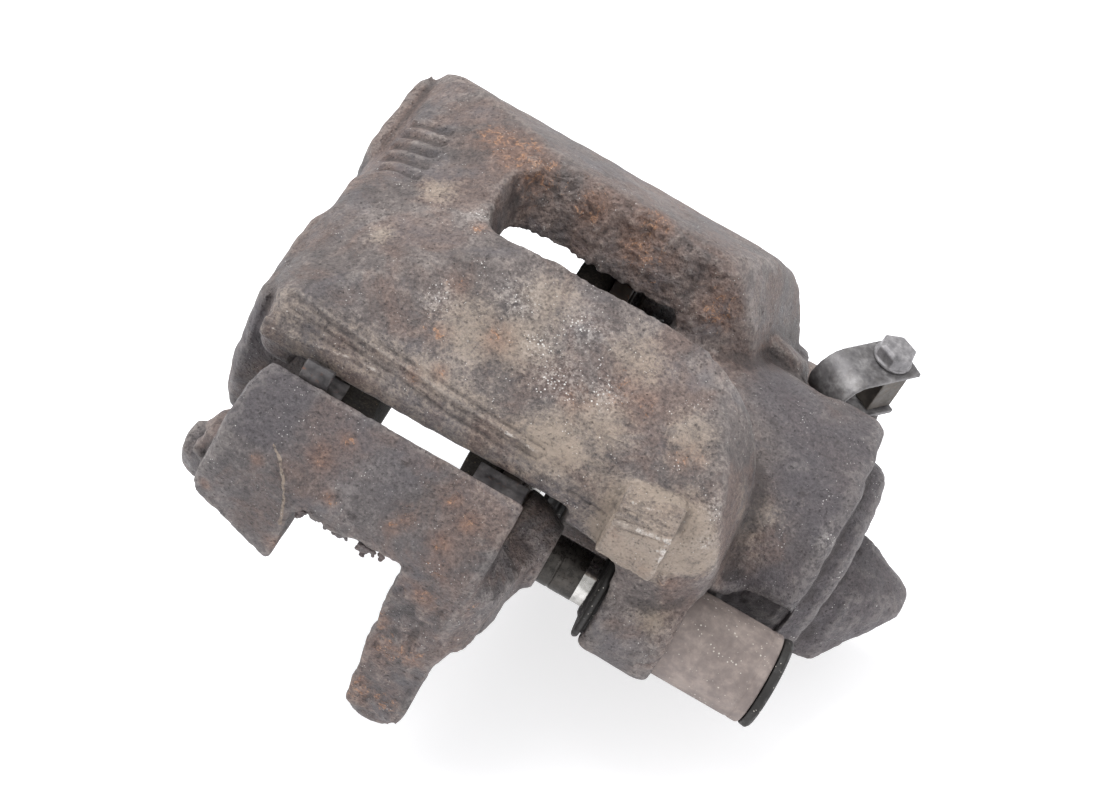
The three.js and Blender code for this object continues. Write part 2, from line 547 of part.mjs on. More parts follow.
// ---- hose clip ----------------------------------------------------------------------------
const clipBand = (() => {
  const s = new THREE.Shape();
  const { r, t, loop } = CLIP;
  s.moveTo(6.5, r + t / 2);
  s.lineTo(-loop, r + t / 2);
  s.absarc(-loop, 0, r + t / 2, Math.PI / 2, (3 * Math.PI) / 2, false);
  s.lineTo(5, -r - t / 2);
  s.lineTo(5, -r + t / 2);
  s.lineTo(-loop, -r + t / 2);
  s.absarc(-loop, 0, r - t / 2, (3 * Math.PI) / 2, Math.PI / 2, true);
  s.lineTo(6.5, r - t / 2);
  s.closePath();
  const g = new THREE.ExtrudeGeometry(s, { depth: 14, bevelEnabled: false, curveSegments: 12 });
  g.applyMatrix4(new THREE.Matrix4().set(0, 0, 1, -7, 1, 0, 0, 0, 0, 1, 0, 0, 0, 0, 0, 1));
  return cut(toSolid(g), rodZ(3.3, -12, 12, 0, 0, 20));
})();
place('hose_clip', clipped(clipBand), steel());
const gap = CLIP.r - CLIP.t / 2 - 0.3;
place('hose_clip_spacer', clipped(cut(box(-5.5, 5.5, -4.6, 4.4, -gap, gap), rodZ(3.3, -12, 12, 0, 0, 20))), steel());
const boltTop = CLIP.z + CLIP.r + CLIP.t / 2 + 0.3;
place('hose_clip_bolt', union(
  rodZ(3, -3, boltTop + 0.5, CLIP.x, CLIP.y, 20),
  rodZ(5.9, boltTop, boltTop + 0.9, CLIP.x, CLIP.y, 20),
  rodZ(5.7, boltTop + 0.9, boltTop + 4.2, CLIP.x, CLIP.y, 6),
  rodZ(5.7, boltTop + 4.1, boltTop + 5, CLIP.x, CLIP.y, 6, 4.4),
), steel());

// ---- bleed screw --------------------------------------------------------------------------
place('bleed_screw', turnedBleed([
  [-7.6, 0], [-5.6, 2.6], [-4, 2.6], [-4, 3.72], [6.6, 3.72], [6.6, 5], [11.5, 5], [12.4, 3], [18, 2.9], [18.6, 3.3], [20, 2.5], [20, 0],
]), steel());
place('bleed_cap', turnedBleed([
  [13, 3.7], [13, 5.4], [20, 5], [22, 4.2], [22.6, 2.5], [22.6, 0], [20.6, 0], [20.6, 3.7], [13, 3.7],
]), darkRubber());

export default group;
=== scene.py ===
import json
import math

import bpy
import numpy as np
from mathutils import Matrix, Vector


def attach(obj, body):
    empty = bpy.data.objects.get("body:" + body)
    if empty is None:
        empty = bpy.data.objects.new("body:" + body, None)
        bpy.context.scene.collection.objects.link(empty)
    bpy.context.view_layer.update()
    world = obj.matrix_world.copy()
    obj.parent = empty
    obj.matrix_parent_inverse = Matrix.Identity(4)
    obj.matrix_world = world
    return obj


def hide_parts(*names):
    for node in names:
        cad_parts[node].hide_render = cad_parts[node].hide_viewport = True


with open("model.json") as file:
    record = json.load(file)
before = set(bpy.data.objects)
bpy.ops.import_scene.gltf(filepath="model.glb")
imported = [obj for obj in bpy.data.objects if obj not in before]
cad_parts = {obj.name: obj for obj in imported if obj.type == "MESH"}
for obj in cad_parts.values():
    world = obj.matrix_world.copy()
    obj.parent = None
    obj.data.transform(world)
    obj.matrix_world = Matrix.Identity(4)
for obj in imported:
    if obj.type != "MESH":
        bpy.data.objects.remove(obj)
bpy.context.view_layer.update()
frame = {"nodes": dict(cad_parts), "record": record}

NODES = frame["nodes"]
BODY = {n: b for b, ns in frame["record"]["behaviour"]["bodies"].items() for n in ns}
MM = 0.001
UP = np.array([-0.374, 0.0, 0.928]) / np.linalg.norm([-0.374, 0.0, 0.928])   # straight up as the part lies

# ---------------------------------------------------------------- noise, in mm, seeded by number


def _hash(ix, iy, iz, seed):
    m = np.uint32(0xFFFFFFFF)
    h = (ix.astype(np.int64) * 374761393 + iy.astype(np.int64) * 668265263 + iz.astype(np.int64) * 1440662683 + seed * 974634777) & 0xFFFFFFFF
    h = h.astype(np.uint64)
    h = ((h ^ (h >> np.uint64(13))) * np.uint64(1274126177)) & np.uint64(0xFFFFFFFF)
    h = ((h ^ (h >> np.uint64(16))) * np.uint64(2246822519)) & np.uint64(0xFFFFFFFF)
    h = h ^ (h >> np.uint64(15))
    return (h & np.uint64(0xFFFFFF)).astype(np.float64) / float(0xFFFFFF)


def vnoise(P, seed):
    """Smooth noise from -1 to 1 at lattice spacing 1."""
    i = np.floor(P).astype(np.int64)
    f = P - i
    u = f * f * f * (f * (f * 6 - 15) + 10)
    out = np.zeros(len(P))
    for dx in (0, 1):
        wx = u[:, 0] if dx else 1 - u[:, 0]
        for dy in (0, 1):
            wy = u[:, 1] if dy else 1 - u[:, 1]
            for dz in (0, 1):
                wz = u[:, 2] if dz else 1 - u[:, 2]
                out += wx * wy * wz * _hash(i[:, 0] + dx, i[:, 1] + dy, i[:, 2] + dz, seed)
    return out * 2 - 1


TURN = np.array([[0.36, 0.48, -0.8], [-0.8, 0.6, 0.0], [0.48, 0.64, 0.6]])


def fbm(P, size, octaves, seed, gain=0.5):
    q, a, tot, out = P @ TURN.T / size, 1.0, 0.0, np.zeros(len(P))
    for k in range(octaves):
        out += a * vnoise(q, seed + 17 * k)
        tot += a
        a *= gain
        q = q @ TURN.T * 2.03 + 5.3
    return out / tot * 1.7


def cells(P, size, seed):
    """Distance to the nearest scattered point, and to the second nearest, in units of size."""
    q = P / size
    i = np.floor(q).astype(np.int64)
    a, b = np.full(len(P), 9.0), np.full(len(P), 9.0)
    for dx in (-1, 0, 1):
        for dy in (-1, 0, 1):
            for dz in (-1, 0, 1):
                c = i + np.array([dx, dy, dz])
                s = np.stack([_hash(c[:, 0], c[:, 1], c[:, 2], seed + k) for k in (1, 2, 3)], 1)
                d = np.linalg.norm(q - c - s, axis=1)
                b = np.minimum(b, np.maximum(a, d))
                a = np.minimum(a, d)
    return a, b


def smoothstep(a, b, x):
    t = np.clip((x - a) / (b - a), 0, 1)
    return t * t * (3 - 2 * t)


def blobs(P, spots, grow=1.0):
    out = np.zeros(len(P))
    for x, y, z, r in spots:
        d2 = ((P - np.array([x, y, z])) ** 2).sum(1)
        out = np.maximum(out, np.exp(-d2 / (r * grow) ** 2))
    return out


def line_distance(P, pts):
    best = np.full(len(P), 1e9)
    for a, b in zip(pts[:-1], pts[1:]):
        a, b = np.array(a, float), np.array(b, float)
        t = np.clip(((P - a) @ (b - a)) / ((b - a) @ (b - a)), 0, 1)
        best = np.minimum(best, np.linalg.norm(P - a - t[:, None] * (b - a), axis=1))
    return best


# ---------------------------------------------------------------- meshes


def triangles(node):
    me = NODES[node].data
    me.calc_loop_triangles()
    co = np.zeros(len(me.vertices) * 3)
    me.vertices.foreach_get("co", co)
    t = np.zeros(len(me.loop_triangles) * 3, np.int32)
    me.loop_triangles.foreach_get("vertices", t)
    return co.reshape(-1, 3) / MM, t.reshape(-1, 3)


def mesh_from(name, P, faces):
    me = bpy.data.meshes.new(name)
    me.from_pydata([tuple(p * MM) for p in P], [], [tuple(int(i) for i in f) for f in faces])
    me.update()
    return me


def ball(centre, radii, rings=6, segs=10):
    """A low rounded lump, closed, added to a casting before it is remeshed."""
    c, P, F = np.array(centre, float), [], []
    radii = np.array(radii, float)
    P.append(c + radii * [0, 0, 1])
    for r in range(1, rings):
        a = math.pi * r / rings
        for s in range(segs):
            b = 2 * math.pi * s / segs
            P.append(c + radii * [math.sin(a) * math.cos(b), math.sin(a) * math.sin(b), math.cos(a)])
    P.append(c - radii * [0, 0, 1])
    for s in range(segs):
        F.append((0, 1 + s, 1 + (s + 1) % segs))
        for r in range(rings - 2):
            o = 1 + r * segs
            F.append((o + s, o + segs + s, o + segs + (s + 1) % segs))
            F.append((o + s, o + segs + (s + 1) % segs, o + (s + 1) % segs))
        o = 1 + (rings - 2) * segs
        F.append((o + s, len(P) - 1, o + (s + 1) % segs))
    return np.array(P), np.array(F)


def hull_of(points):
    import bmesh
    bm = bmesh.new()
    for p in points:
        bm.verts.new(Vector(p))
    res = bmesh.ops.convex_hull(bm, input=bm.verts)
    for v in [v for v in bm.verts if not v.link_faces]:
        bm.verts.remove(v)
    bmesh.ops.triangulate(bm, faces=bm.faces)
    bmesh.ops.recalc_face_normals(bm, faces=bm.faces)
    bm.verts.index_update()
    P = np.array([tuple(v.co) for v in bm.verts])
    F = np.array([[v.index for v in f.verts] for f in bm.faces])
    bm.free()
    return P, F


def remeshed(name, parts, voxel):
    """One closed skin round all the parts, as even quads. Returns the mesh, its points (mm) and its edges."""
    P, F, o = [], [], 0
    for p, f in parts:
        P.append(p); F.append(np.array(f) + o); o += len(p)
    me = mesh_from(name, np.concatenate(P), np.concatenate(F))
    ob = bpy.data.objects.new(name + "_tmp", me)
    bpy.context.scene.collection.objects.link(ob)
    import bmesh
    bm = bmesh.new(); bm.from_mesh(me)
    bmesh.ops.remove_doubles(bm, verts=bm.verts, dist=2e-6)
    bm.to_mesh(me); bm.free()
    mod = ob.modifiers.new("skin", "REMESH")
    mod.mode, mod.voxel_size, mod.adaptivity, mod.use_smooth_shade = "VOXEL", voxel * MM, 0.0, True
    bpy.context.view_layer.update()
    dg = bpy.context.evaluated_depsgraph_get()
    new = bpy.data.meshes.new_from_object(ob.evaluated_get(dg))
    bpy.data.objects.remove(ob)
    bpy.data.meshes.remove(me)
    new.name = name
    co = np.zeros(len(new.vertices) * 3); new.vertices.foreach_get("co", co)
    e = np.zeros(len(new.edges) * 2, np.int32); new.edges.foreach_get("vertices", e)
    return new, co.reshape(-1, 3) / MM, e.reshape(-1, 2)


def relax(P, E, rounds, weight=1.0, step=0.6):
    n = len(P)
    deg = np.maximum(np.bincount(E.ravel(), minlength=n), 1)[:, None]
    w = np.full((n, 1), 1.0) * (weight[:, None] if isinstance(weight, np.ndarray) else weight)
    for _ in range(rounds):
        S = np.stack([np.bincount(E[:, 0], P[E[:, 1], k], n) + np.bincount(E[:, 1], P[E[:, 0], k], n) for k in range(3)], 1)
        P = P + step * w * (S / deg - P)
    return P


def refine(me, P, mask):
    """Splits the quads in the masked area once, so that it can hold finer forms."""
    import bmesh
    me.vertices.foreach_set("co", (P * MM).ravel())
    bm = bmesh.new(); bm.from_mesh(me)
    bm.verts.ensure_lookup_table()
    es = [e for e in bm.edges if mask[e.verts[0].index] and mask[e.verts[1].index]]
    bmesh.ops.subdivide_edges(bm, edges=es, cuts=1, use_grid_fill=True, smooth=0.0)
    bm.to_mesh(me); bm.free(); me.update()
    co = np.zeros(len(me.vertices) * 3); me.vertices.foreach_get("co", co)
    e = np.zeros(len(me.edges) * 2, np.int32); me.edges.foreach_get("vertices", e)
    return co.reshape(-1, 3) / MM, e.reshape(-1, 2)


def normals(me, P):
    me.vertices.foreach_set("co", (P * MM).ravel())
    me.update()
    n = np.zeros(len(P) * 3)
    me.vertices.foreach_get("normal", n)
    return n.reshape(-1, 3)


def keep_bore(P, y, z, x0, x1, r, reach=1.6):
    """Opens a bore along X again where the skin crept into it."""
    d = P[:, 1:] - [y, z]
    R = np.linalg.norm(d, axis=1)
    sel = (P[:, 0] > x0) & (P[:, 0] < x1) & (R > r - reach) & (R < r)
    P[sel, 1:] = np.array([y, z]) + d[sel] / R[sel, None] * r
    return P


def settle(obj, body, material, slot, *nodes, attrs=None):
    me = obj.data
    for k, v in (attrs or {}).items():
        a = me.attributes.new(k, "FLOAT", "POINT")
        a.data.foreach_set("value", np.clip(v, 0, 1).astype(np.float32))
    me.materials.clear()
    me.materials.append(material)
    me.shade_smooth()
    bpy.context.scene.collection.objects.link(obj)
    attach(obj, body)
    if nodes:
        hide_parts(*nodes)
    return obj


# ---------------------------------------------------------------- materials


class Tree:
    def __init__(self, name):
        self.m = bpy.data.materials.new(name)
        self.m.use_nodes = True
        self.t = self.m.node_tree
        self.t.nodes.clear()
        self.out = self.t.nodes.new("ShaderNodeOutputMaterial")
        self.b = self.t.nodes.new("ShaderNodeBsdfPrincipled")
        self.t.links.new(self.b.outputs[0], self.out.inputs["Surface"])
        tc = self.t.nodes.new("ShaderNodeTexCoord")
        mp = self.t.nodes.new("ShaderNodeMapping")
        mp.inputs["Scale"].default_value = (1000, 1000, 1000)
        self.t.links.new(tc.outputs["Object"], mp.inputs["Vector"])
        self.co = mp.outputs[0]

    def link(self, a, b):
        self.t.links.new(a, b)

    def put(self, inp, v):
        if isinstance(v, bpy.types.NodeSocket):
            self.link(v, inp)
        else:
            inp.default_value = v

    def noise(self, size, detail=4, rough=0.55, distortion=0.0, offset=0.0, stretch=None):
        v = self.co
        if stretch or offset:
            mp = self.t.nodes.new("ShaderNodeMapping")
            mp.inputs["Location"].default_value = (offset, offset * 0.7, offset * 1.3)
            if stretch:
                mp.inputs["Scale"].default_value = stretch
            self.link(v, mp.inputs["Vector"]); v = mp.outputs[0]
        n = self.t.nodes.new("ShaderNodeTexNoise")
        n.inputs["Scale"].default_value = 1.0 / size
        n.inputs["Detail"].default_value = detail
        n.inputs["Roughness"].default_value = rough
        n.inputs["Distortion"].default_value = distortion
        self.link(v, n.inputs["Vector"])
        return n.outputs["Fac"]

    def voronoi(self, size, feature="F1", rand=1.0):
        n = self.t.nodes.new("ShaderNodeTexVoronoi")
        n.feature = feature
        n.inputs["Scale"].default_value = 1.0 / size
        n.inputs["Randomness"].default_value = rand
        self.link(self.co, n.inputs["Vector"])
        return n.outputs["Distance"]

    def attr(self, name):
        n = self.t.nodes.new("ShaderNodeAttribute")
        n.attribute_name = name
        return n.outputs["Fac"]

    def ramp(self, v, stops):
        n = self.t.nodes.new("ShaderNodeValToRGB")
        e = n.color_ramp.elements
        e[0].position, e[0].color = stops[0][0], col(stops[0][1])
        e[1].position, e[1].color = stops[-1][0], col(stops[-1][1])
        for p, c in stops[1:-1]:
            x = e.new(p); x.color = col(c)
        self.link(v, n.inputs[0])
        return n.outputs[0]

    def step(self, v, a, b, lo=0.0, hi=1.0):
        n = self.t.nodes.new("ShaderNodeMapRange")
        n.interpolation_type = "SMOOTHSTEP"
        n.inputs["From Min"].default_value, n.inputs["From Max"].default_value = a, b
        n.inputs["To Min"].default_value, n.inputs["To Max"].default_value = lo, hi
        self.link(v, n.inputs["Value"])
        return n.outputs[0]

    def math(self, op, a, b=0.0):
        n = self.t.nodes.new("ShaderNodeMath")
        n.operation = op
        self.put(n.inputs[0], a); self.put(n.inputs[1], b)
        return n.outputs[0]

    def mix(self, f, a, b):
        n = self.t.nodes.new("ShaderNodeMix")
        n.data_type = "RGBA"
        self.put(n.inputs[0], f)
        self.put(n.inputs[6], col(a) if isinstance(a, tuple) else a)
        self.put(n.inputs[7], col(b) if isinstance(b, tuple) else b)
        return n.outputs[2]

    def bump(self, height, distance, strength=1.0, under=None):
        n = self.t.nodes.new("ShaderNodeBump")
        n.inputs["Distance"].default_value = distance * MM
        n.inputs["Strength"].default_value = strength
        self.link(height, n.inputs["Height"])
        if under is not None:
            self.link(under, n.inputs["Normal"])
        return n.outputs[0]

    def done(self, color, rough, normal=None, metallic=0.0, specular=0.35):
        self.put(self.b.inputs["Base Color"], color)
        self.put(self.b.inputs["Roughness"], rough)
        self.b.inputs["Metallic"].default_value = metallic
        self.b.inputs["Specular IOR Level"].default_value = specular
        if normal is not None:
            self.link(normal, self.b.inputs["Normal"])
        return self.m


def lin(v):
    v = v / 255.0
    return v / 12.92 if v <= 0.04045 else ((v + 0.055) / 1.055) ** 2.4


def col(c):
    return (lin(c[0]), lin(c[1]), lin(c[2]), 1.0)


def cast_iron(name, dark, mid, light, rust_bias=0.0, dust_bias=0.0, grain=1.0):
    """Old cast iron: grey skin with a sand grain, painted shade and grime, powdery road dust, rust stain and rust
    specks, pale flecks, rubbed bare metal with a painted sheen.
    """
    t = Tree(name)
    big, med = t.noise(30, 5, 0.6, 0.5), t.noise(7.5, 7, 0.66, 0.5, 11)
    fine, sand = t.noise(1.7, 6, 0.70, 0.0, 23), t.noise(0.8, 5, 0.72, 0.0, 37)
    micro = t.math("ADD", t.math("MULTIPLY", fine, 0.50), t.math("MULTIPLY", sand, 0.50))
    tone = t.math("ADD", t.math("MULTIPLY", big, 0.24), t.math("ADD", t.math("MULTIPLY", med, 0.28), t.math("MULTIPLY", micro, 0.48)))
    c = t.ramp(tone, [(0.41, dark), (0.50, mid), (0.59, light)])
    # warmer and cooler stretches of the skin
    c = t.mix(t.step(t.noise(19, 5, 0.6, 0.8, 61), 0.44, 0.62, 0.0, 0.55), c, t.ramp(micro, [(0.42, (88, 70, 65)), (0.58, (130, 108, 98))]))
    c = t.mix(t.step(t.noise(15, 5, 0.62, 0.5, 131), 0.50, 0.70, 0.0, 0.40), c, (94, 92, 98))
    # painted shade and grime from the dark mask, breaking up at its edge
    g = t.step(t.math("ADD", t.attr("dark"), t.math("MULTIPLY", t.math("SUBTRACT", med, 0.5), 0.6)), 0.10, 0.85, 0.0, 0.84)
    c = t.mix(g, c, t.ramp(micro, [(0.40, (66, 62, 66)), (0.60, (94, 89, 93))]))
    # dust, lying as powder between the grains
    powder = t.math("ADD", t.math("MULTIPLY", micro, 1.2), t.math("MULTIPLY", med, 0.7))
    powder = t.math("ADD", powder, t.math("ADD", t.math("MULTIPLY", t.attr("dust"), 0.62), dust_bias))
    c = t.mix(t.step(powder, 0.98, 1.50, 0.0, 0.72), c, t.mix(big, (156, 140, 124), (174, 160, 146)))
    # rust: a soft stain under small strong specks
    stain = t.math("MULTIPLY", t.math("ADD", t.attr("rust"), rust_bias), t.step(med, 0.30, 0.62, 0.25, 1.0))
    c = t.mix(t.step(stain, 0.10, 1.0, 0.0, 0.52), c, t.ramp(micro, [(0.40, (92, 64, 54)), (0.60, (146, 110, 90))]))
    sp = t.math("ADD", t.noise(2.2, 8, 0.80, 0.9, 83), t.math("MULTIPLY", t.math("SUBTRACT", t.attr("rust"), 0.7), 0.20))
    c = t.mix(t.step(sp, 0.585, 0.635, 0.0, 0.85), c, t.ramp(sand, [(0.38, (122, 84, 64)), (0.62, (186, 144, 112))]))
    # pale flecks, in loose groups
    fl = t.math("ADD", t.math("SUBTRACT", 0.34, t.voronoi(0.95)), t.math("MULTIPLY", t.math("SUBTRACT", t.noise(6, 5, 0.7, 0.5, 97), 0.60), 0.9))
    fl = t.math("ADD", fl, t.math("MULTIPLY", t.attr("speck"), 0.20))
    c = t.mix(t.step(fl, 0.16, 0.28, 0.0, 0.85), c, (222, 219, 216))
    haze = t.math("MULTIPLY", t.attr("speck"), t.step(micro, 0.46, 0.58))
    c = t.mix(t.math("MULTIPLY", haze, 0.40), c, (188, 184, 181))
    # hollows are darker, proud edges rubbed lighter
    c = t.mix(t.step(t.attr("cavity"), 0.10, 1.0, 0.0, 0.58), c, (54, 48, 48))
    c = t.mix(t.math("MULTIPLY", t.step(t.attr("edge"), 0.3, 1.0, 0.0, 0.16), t.step(fine, 0.40, 0.58, 0.2, 1.0)), c, (182, 175, 169))
    # rubbed bare metal, and a painted sheen line along the near side's rolled edge
    c = t.mix(t.step(t.math("ADD", t.attr("bare_and_sheen"), t.math("MULTIPLY", t.math("SUBTRACT", fine, 0.5), 1.6)), 0.45, 0.85, 0.0, 0.85), c, t.ramp(sand, [(0.40, (168, 154, 144)), (0.60, (214, 209, 205))]))
    pores = t.voronoi(1.15)
    c = t.mix(t.step(pores, 0.30, 0.08, 0.0, 0.40), c, (62, 56, 57))
    rough = t.step(t.math("ADD", t.math("MULTIPLY", med, 0.5), t.math("MULTIPLY", fine, 0.5)), 0.35, 0.65, 0.42, 0.72)
    n = t.bump(t.noise(3.6, 6, 0.65, 0.4, 5), 0.8 * grain, 0.9)
    n = t.bump(t.noise(1.5, 3, 0.5, 0.25, 7), 0.75 * grain, 1.0, n)
    n = t.bump(t.step(pores, 0.04, 0.40), 0.34 * grain, 0.8, n)
    n = t.bump(micro, 1.15 * grain, 1.0, n)
    return t.done(c, rough, n, 0.0, 0.5)


def plain_steel(name, dark, mid, light, metallic=0.55, rust=0.0, rough=(0.35, 0.6), grime=0.35):
    t = Tree(name)
    a, b, f = t.noise(7, 4, 0.6), t.noise(1.8, 5, 0.62, 0.3, 9), t.noise(0.5, 3, 0.6, 0, 21)
    c = t.ramp(t.math("ADD", t.math("MULTIPLY", a, 0.5), t.math("MULTIPLY", b, 0.5)), [(0.35, dark), (0.5, mid), (0.64, light)])
    c = t.mix(t.step(t.noise(4, 5, 0.65, 0.4, 33), 0.5, 0.7, 0.0, grime), c, (58, 52, 47))
    c = t.mix(t.step(t.math("ADD", t.noise(2.2, 6, 0.7, 0.6, 71), rust), 0.6, 0.8, 0.0, 0.75), c, (128, 80, 52))
    r = t.step(b, 0.38, 0.62, rough[0], rough[1])
    n = t.bump(b, 0.06, 0.6)
    n = t.bump(f, 0.03, 0.6, n)
    return t.done(c, r, n, metallic, 0.5)


def rubber(name, dark, mid, dust, amount, rough=(0.5, 0.8)):
    t = Tree(name)
    a, b, f = t.noise(9, 5, 0.6), t.noise(2.2, 6, 0.65, 0.3, 13), t.noise(0.5, 3, 0.6, 0, 29)
    c = t.ramp(t.math("ADD", t.math("MULTIPLY", a, 0.6), t.math("MULTIPLY", b, 0.4)), [(0.36, dark), (0.62, mid)])
    dn = t.math("ADD", t.math("ADD", t.math("MULTIPLY", a, 0.5), t.math("MULTIPLY", b, 0.5)), amount)
    c = t.mix(t.step(dn, 0.45, 0.75, 0.0, 0.92), c, dust)
    fl = t.math("ADD", t.math("SUBTRACT", 0.40, t.voronoi(1.2)), t.math("MULTIPLY", t.math("SUBTRACT", t.noise(6, 5, 0.7, 0.5, 47), 0.52), 1.0))
    c = t.mix(t.step(fl, 0.25, 0.38, 0.0, 0.8), c, (200, 194, 186))
    r = t.step(b, 0.38, 0.62, rough[0], rough[1])
    n = t.bump(b, 0.10, 0.6)
    n = t.bump(f, 0.05, 0.6, n)
    return t.done(c, r, n, 0.0, 0.4)


HOUSING = cast_iron("housing_iron", (66, 60, 60), (100, 92, 90), (144, 135, 131), dust_bias=-0.12)
BRACKET = cast_iron("bracket_iron", (64, 59, 60), (98, 92, 92), (140, 133, 131), rust_bias=0.10, dust_bias=-0.16, grain=1.15)
CHROME = plain_steel("worn_chrome", (150, 148, 145), (190, 188, 184), (215, 213, 210), 1.0, -0.08, (0.12, 0.3), 0.25)
PINSTEEL = plain_steel("greasy_pin", (34, 32, 31), (52, 49, 46), (80, 76, 72), 0.6, -0.02, (0.22, 0.45), 0.5)
CLIPMETAL = plain_steel("zinc_plate", (78, 76, 78), (104, 102, 103), (138, 136, 136), 0.35, -0.04, (0.38, 0.6), 0.3)
CLIPBOLT = plain_steel("zinc_bolt", (92, 91, 93), (126, 124, 126), (160, 158, 159), 0.35, -0.06, (0.38, 0.6), 0.2)
CLIPDARK = plain_steel("dark_steel", (52, 48, 45), (72, 67, 62), (96, 90, 84), 0.3, 0.0, (0.45, 0.7))
RAIL = plain_steel("rail_clip_steel", (46, 44, 45), (70, 67, 68), (98, 94, 94), 0.3, 0.02, (0.4, 0.65))
PLATE = plain_steel("pad_plate_steel", (48, 43, 40), (68, 60, 55), (92, 82, 74), 0.2, 0.04, (0.55, 0.8))
RUBBER = rubber("black_rubber", (30, 29, 28), (46, 44, 43), (108, 98, 88), -0.22)
SLEEVE = rubber("dusty_sleeve", (106, 96, 93), (134, 123, 118), (154, 142, 135), 0.0)


def friction():
    t = Tree("pad_friction")
    a, f = t.noise(3, 6, 0.65), t.noise(0.7, 4, 0.7, 0, 9)
    c = t.ramp(t.math("ADD", t.math("MULTIPLY", a, 0.4), t.math("MULTIPLY", f, 0.6)), [(0.36, (38, 35, 33)), (0.52, (58, 54, 50)), (0.66, (88, 80, 72))])
    c = t.mix(t.step(t.voronoi(1.7), 0.05, 0.14, 0.6, 0.0), c, (128, 112, 90))
    n = t.bump(f, 0.25, 0.9)
    return t.done(c, t.step(a, 0.4, 0.6, 0.75, 0.95), n, 0.0, 0.25)


FRICTION = friction()

# ---------------------------------------------------------------- where things show, in mm

RUST_B = [(-45.5, -75.4, 69.9, 2.3), (-49.7, -80.9, 66.4, 2.8), (-63.2, -86.5, 59.4, 1.5), (-72.4, -87.0, 42.3, 1.5), (-24.4, -82.8, 64.8, 2.5), (-26.0, -85.3, 61.6, 2.0), (-9.9, -77.6, 68.5, 2.3), (-10.7, -86.9, 57.3, 3.0), (-10.6, -87.0, 48.5, 2.5), (-17.9, -87.0, 29.1, 2.5), (-11.3, -86.9, 22.1, 3.5), (-6.9, -87.0, 24.7, 3.0), (-14.6, -85.9, -0.1, 3.5), (1.1, -84.9, 50.2, 2.0), (-13.5, -83.9, 63.5, 2.3), (-50.0, -87.0, 35.6, 2.3), (-16.3, -75.1, 70.0, 2.0), (-42.4, -86.3, 60.0, 1.8), (-6.4, -86.0, 1.8, 3.0)]
RUST_H = [(-40.5, -58.1, 83.8, 2.0), (-34.7, -55.5, 86.7, 1.8), (-2.2, -44.7, 93.1, 3.5), (-41.9, -35.9, 97.5, 2.3), (-45.5, -16.4, 99.8, 2.0), (-56.4, 23.0, 95.7, 3.5), (-46.9, 19.1, 99.4, 4.0), (-41.1, 16.1, 98.6, 3.5), (-40.3, -48.5, 91.1, 3.0), (-27.0, -42.2, 94.4, 3.5), (5.8, -37.9, 96.5, 4.5), (13.3, -39.0, 96.0, 4.0), (-24.0, 14.8, 97.9, 2.5), (-7.3, 17.7, 104.4, 3.0), (-6.1, 13.6, 95.4, 3.5), (19.7, 11.8, 91.5, 4.0), (28.8, -44.2, 93.4, 3.5), (34.1, -61.9, 71.5, 1.8), (23.9, -61.9, 81.1, 2.0), (41.2, -58.6, 65.5, 2.0), (13.6, 17.6, 78.4, 3.0), (34.2, 21.5, 78.2, 3.0)]
DUST_H = [(-21.7, -40.1, 95.5, 8.8), (6.8, -29.6, 100.2, 6.5), (5.5, -47.0, 91.9, 7.6), (27.5, -40.5, 95.2, 6.0), (25.8, -62.0, 74.7, 4.0), (34.8, -61.9, 73.7, 3.0), (-65.8, -28.2, 91.9, 3.0), (37.1, -56.0, 86.3, 7.6), (-33.7, -43.9, 93.5, 8.8), (-21.4, -28.4, 100.7, 6.3), (-1.9, -53.4, 88.2, 6.3), (-60.0, -5.1, 94.4, 5.0), (44.6, -57.2, 76.9, 5.5), (43.2, -61.0, 53.6, 4.5)]
SPECK_H = [(-46.2, 10.5, 88.1, 3.0), (-8.1, -43.6, 93.7, 5.0), (2.4, -41.9, 94.5, 4.0), (41.3, -51.6, 89.3, 2.5), (43.5, -57.6, 82.9, 2.0), (31.7, -59.7, 85.6, 2.0), (-9.0, -30.0, 100.1, 4.0), (-47.2, -11.3, 99.3, 2.5), (-16.8, -38.7, 96.1, 3.5), (73.0, -24.2, 73.5, 2.5), (-26.8, -31.6, 99.4, 4.5), (-44.0, -41.3, 94.8, 3.0)]
# spots for the dark mask: painted shade on the cylinder's top inboard of the window, on the outboard finger's side,
# beside the near recess and under the strip; the spot at x 95 darkens the rear boss
DARK_H = [(47.1, 6.8, 81.0, 12), (60.0, -4.3, 81.0, 12), (58.7, -16.1, 79.1, 8), (-83.3, -52.1, 62.5, 9), (70.3, -15.4, 79.4, 8), (95.0, 0, 28, 12), (66.0, -33.0, 54.0, 7), (58.0, -36.0, 52.0, 6), (6.9, -60.0, 73.4, 6)]
# patches made lighter on the near flank: they raise the dust mask and thin out the dark mask there
WARM_H = [(48.0, -36.5, 80.0, 7.0), (52.5, -32.0, 66.0, 7.5), (54.5, -27.5, 71.5, 5.5)]
FLASH = [(-60.9, -83.3, 64.1), (-57.8, -84.9, 62.2), (-54.8, -86.7, 58.4), (-52.6, -87.0, 52.2), (-51.0, -87.0, 44.0)]
STRIP = [(-76.7, -58.3, 83.6), (-40.9, -59.4, 81.1), (-5.1, -61.0, 79.1), (17.3, -60.5, 77.5)]
RIDGE = [(-75.5, -55.6, 86.7), (-50.4, -57.2, 84.9), (-23.8, -58.2, 83.7), (-4.0, -58.8, 82.9)]
SHEEN = [(-77.8, -61.3, 76.6), (-69.1, -61.3, 78.0), (-61.2, -60.4, 79.0), (-54.8, -59.7, 80.3), (-46.0, -59.8, 80.4)]
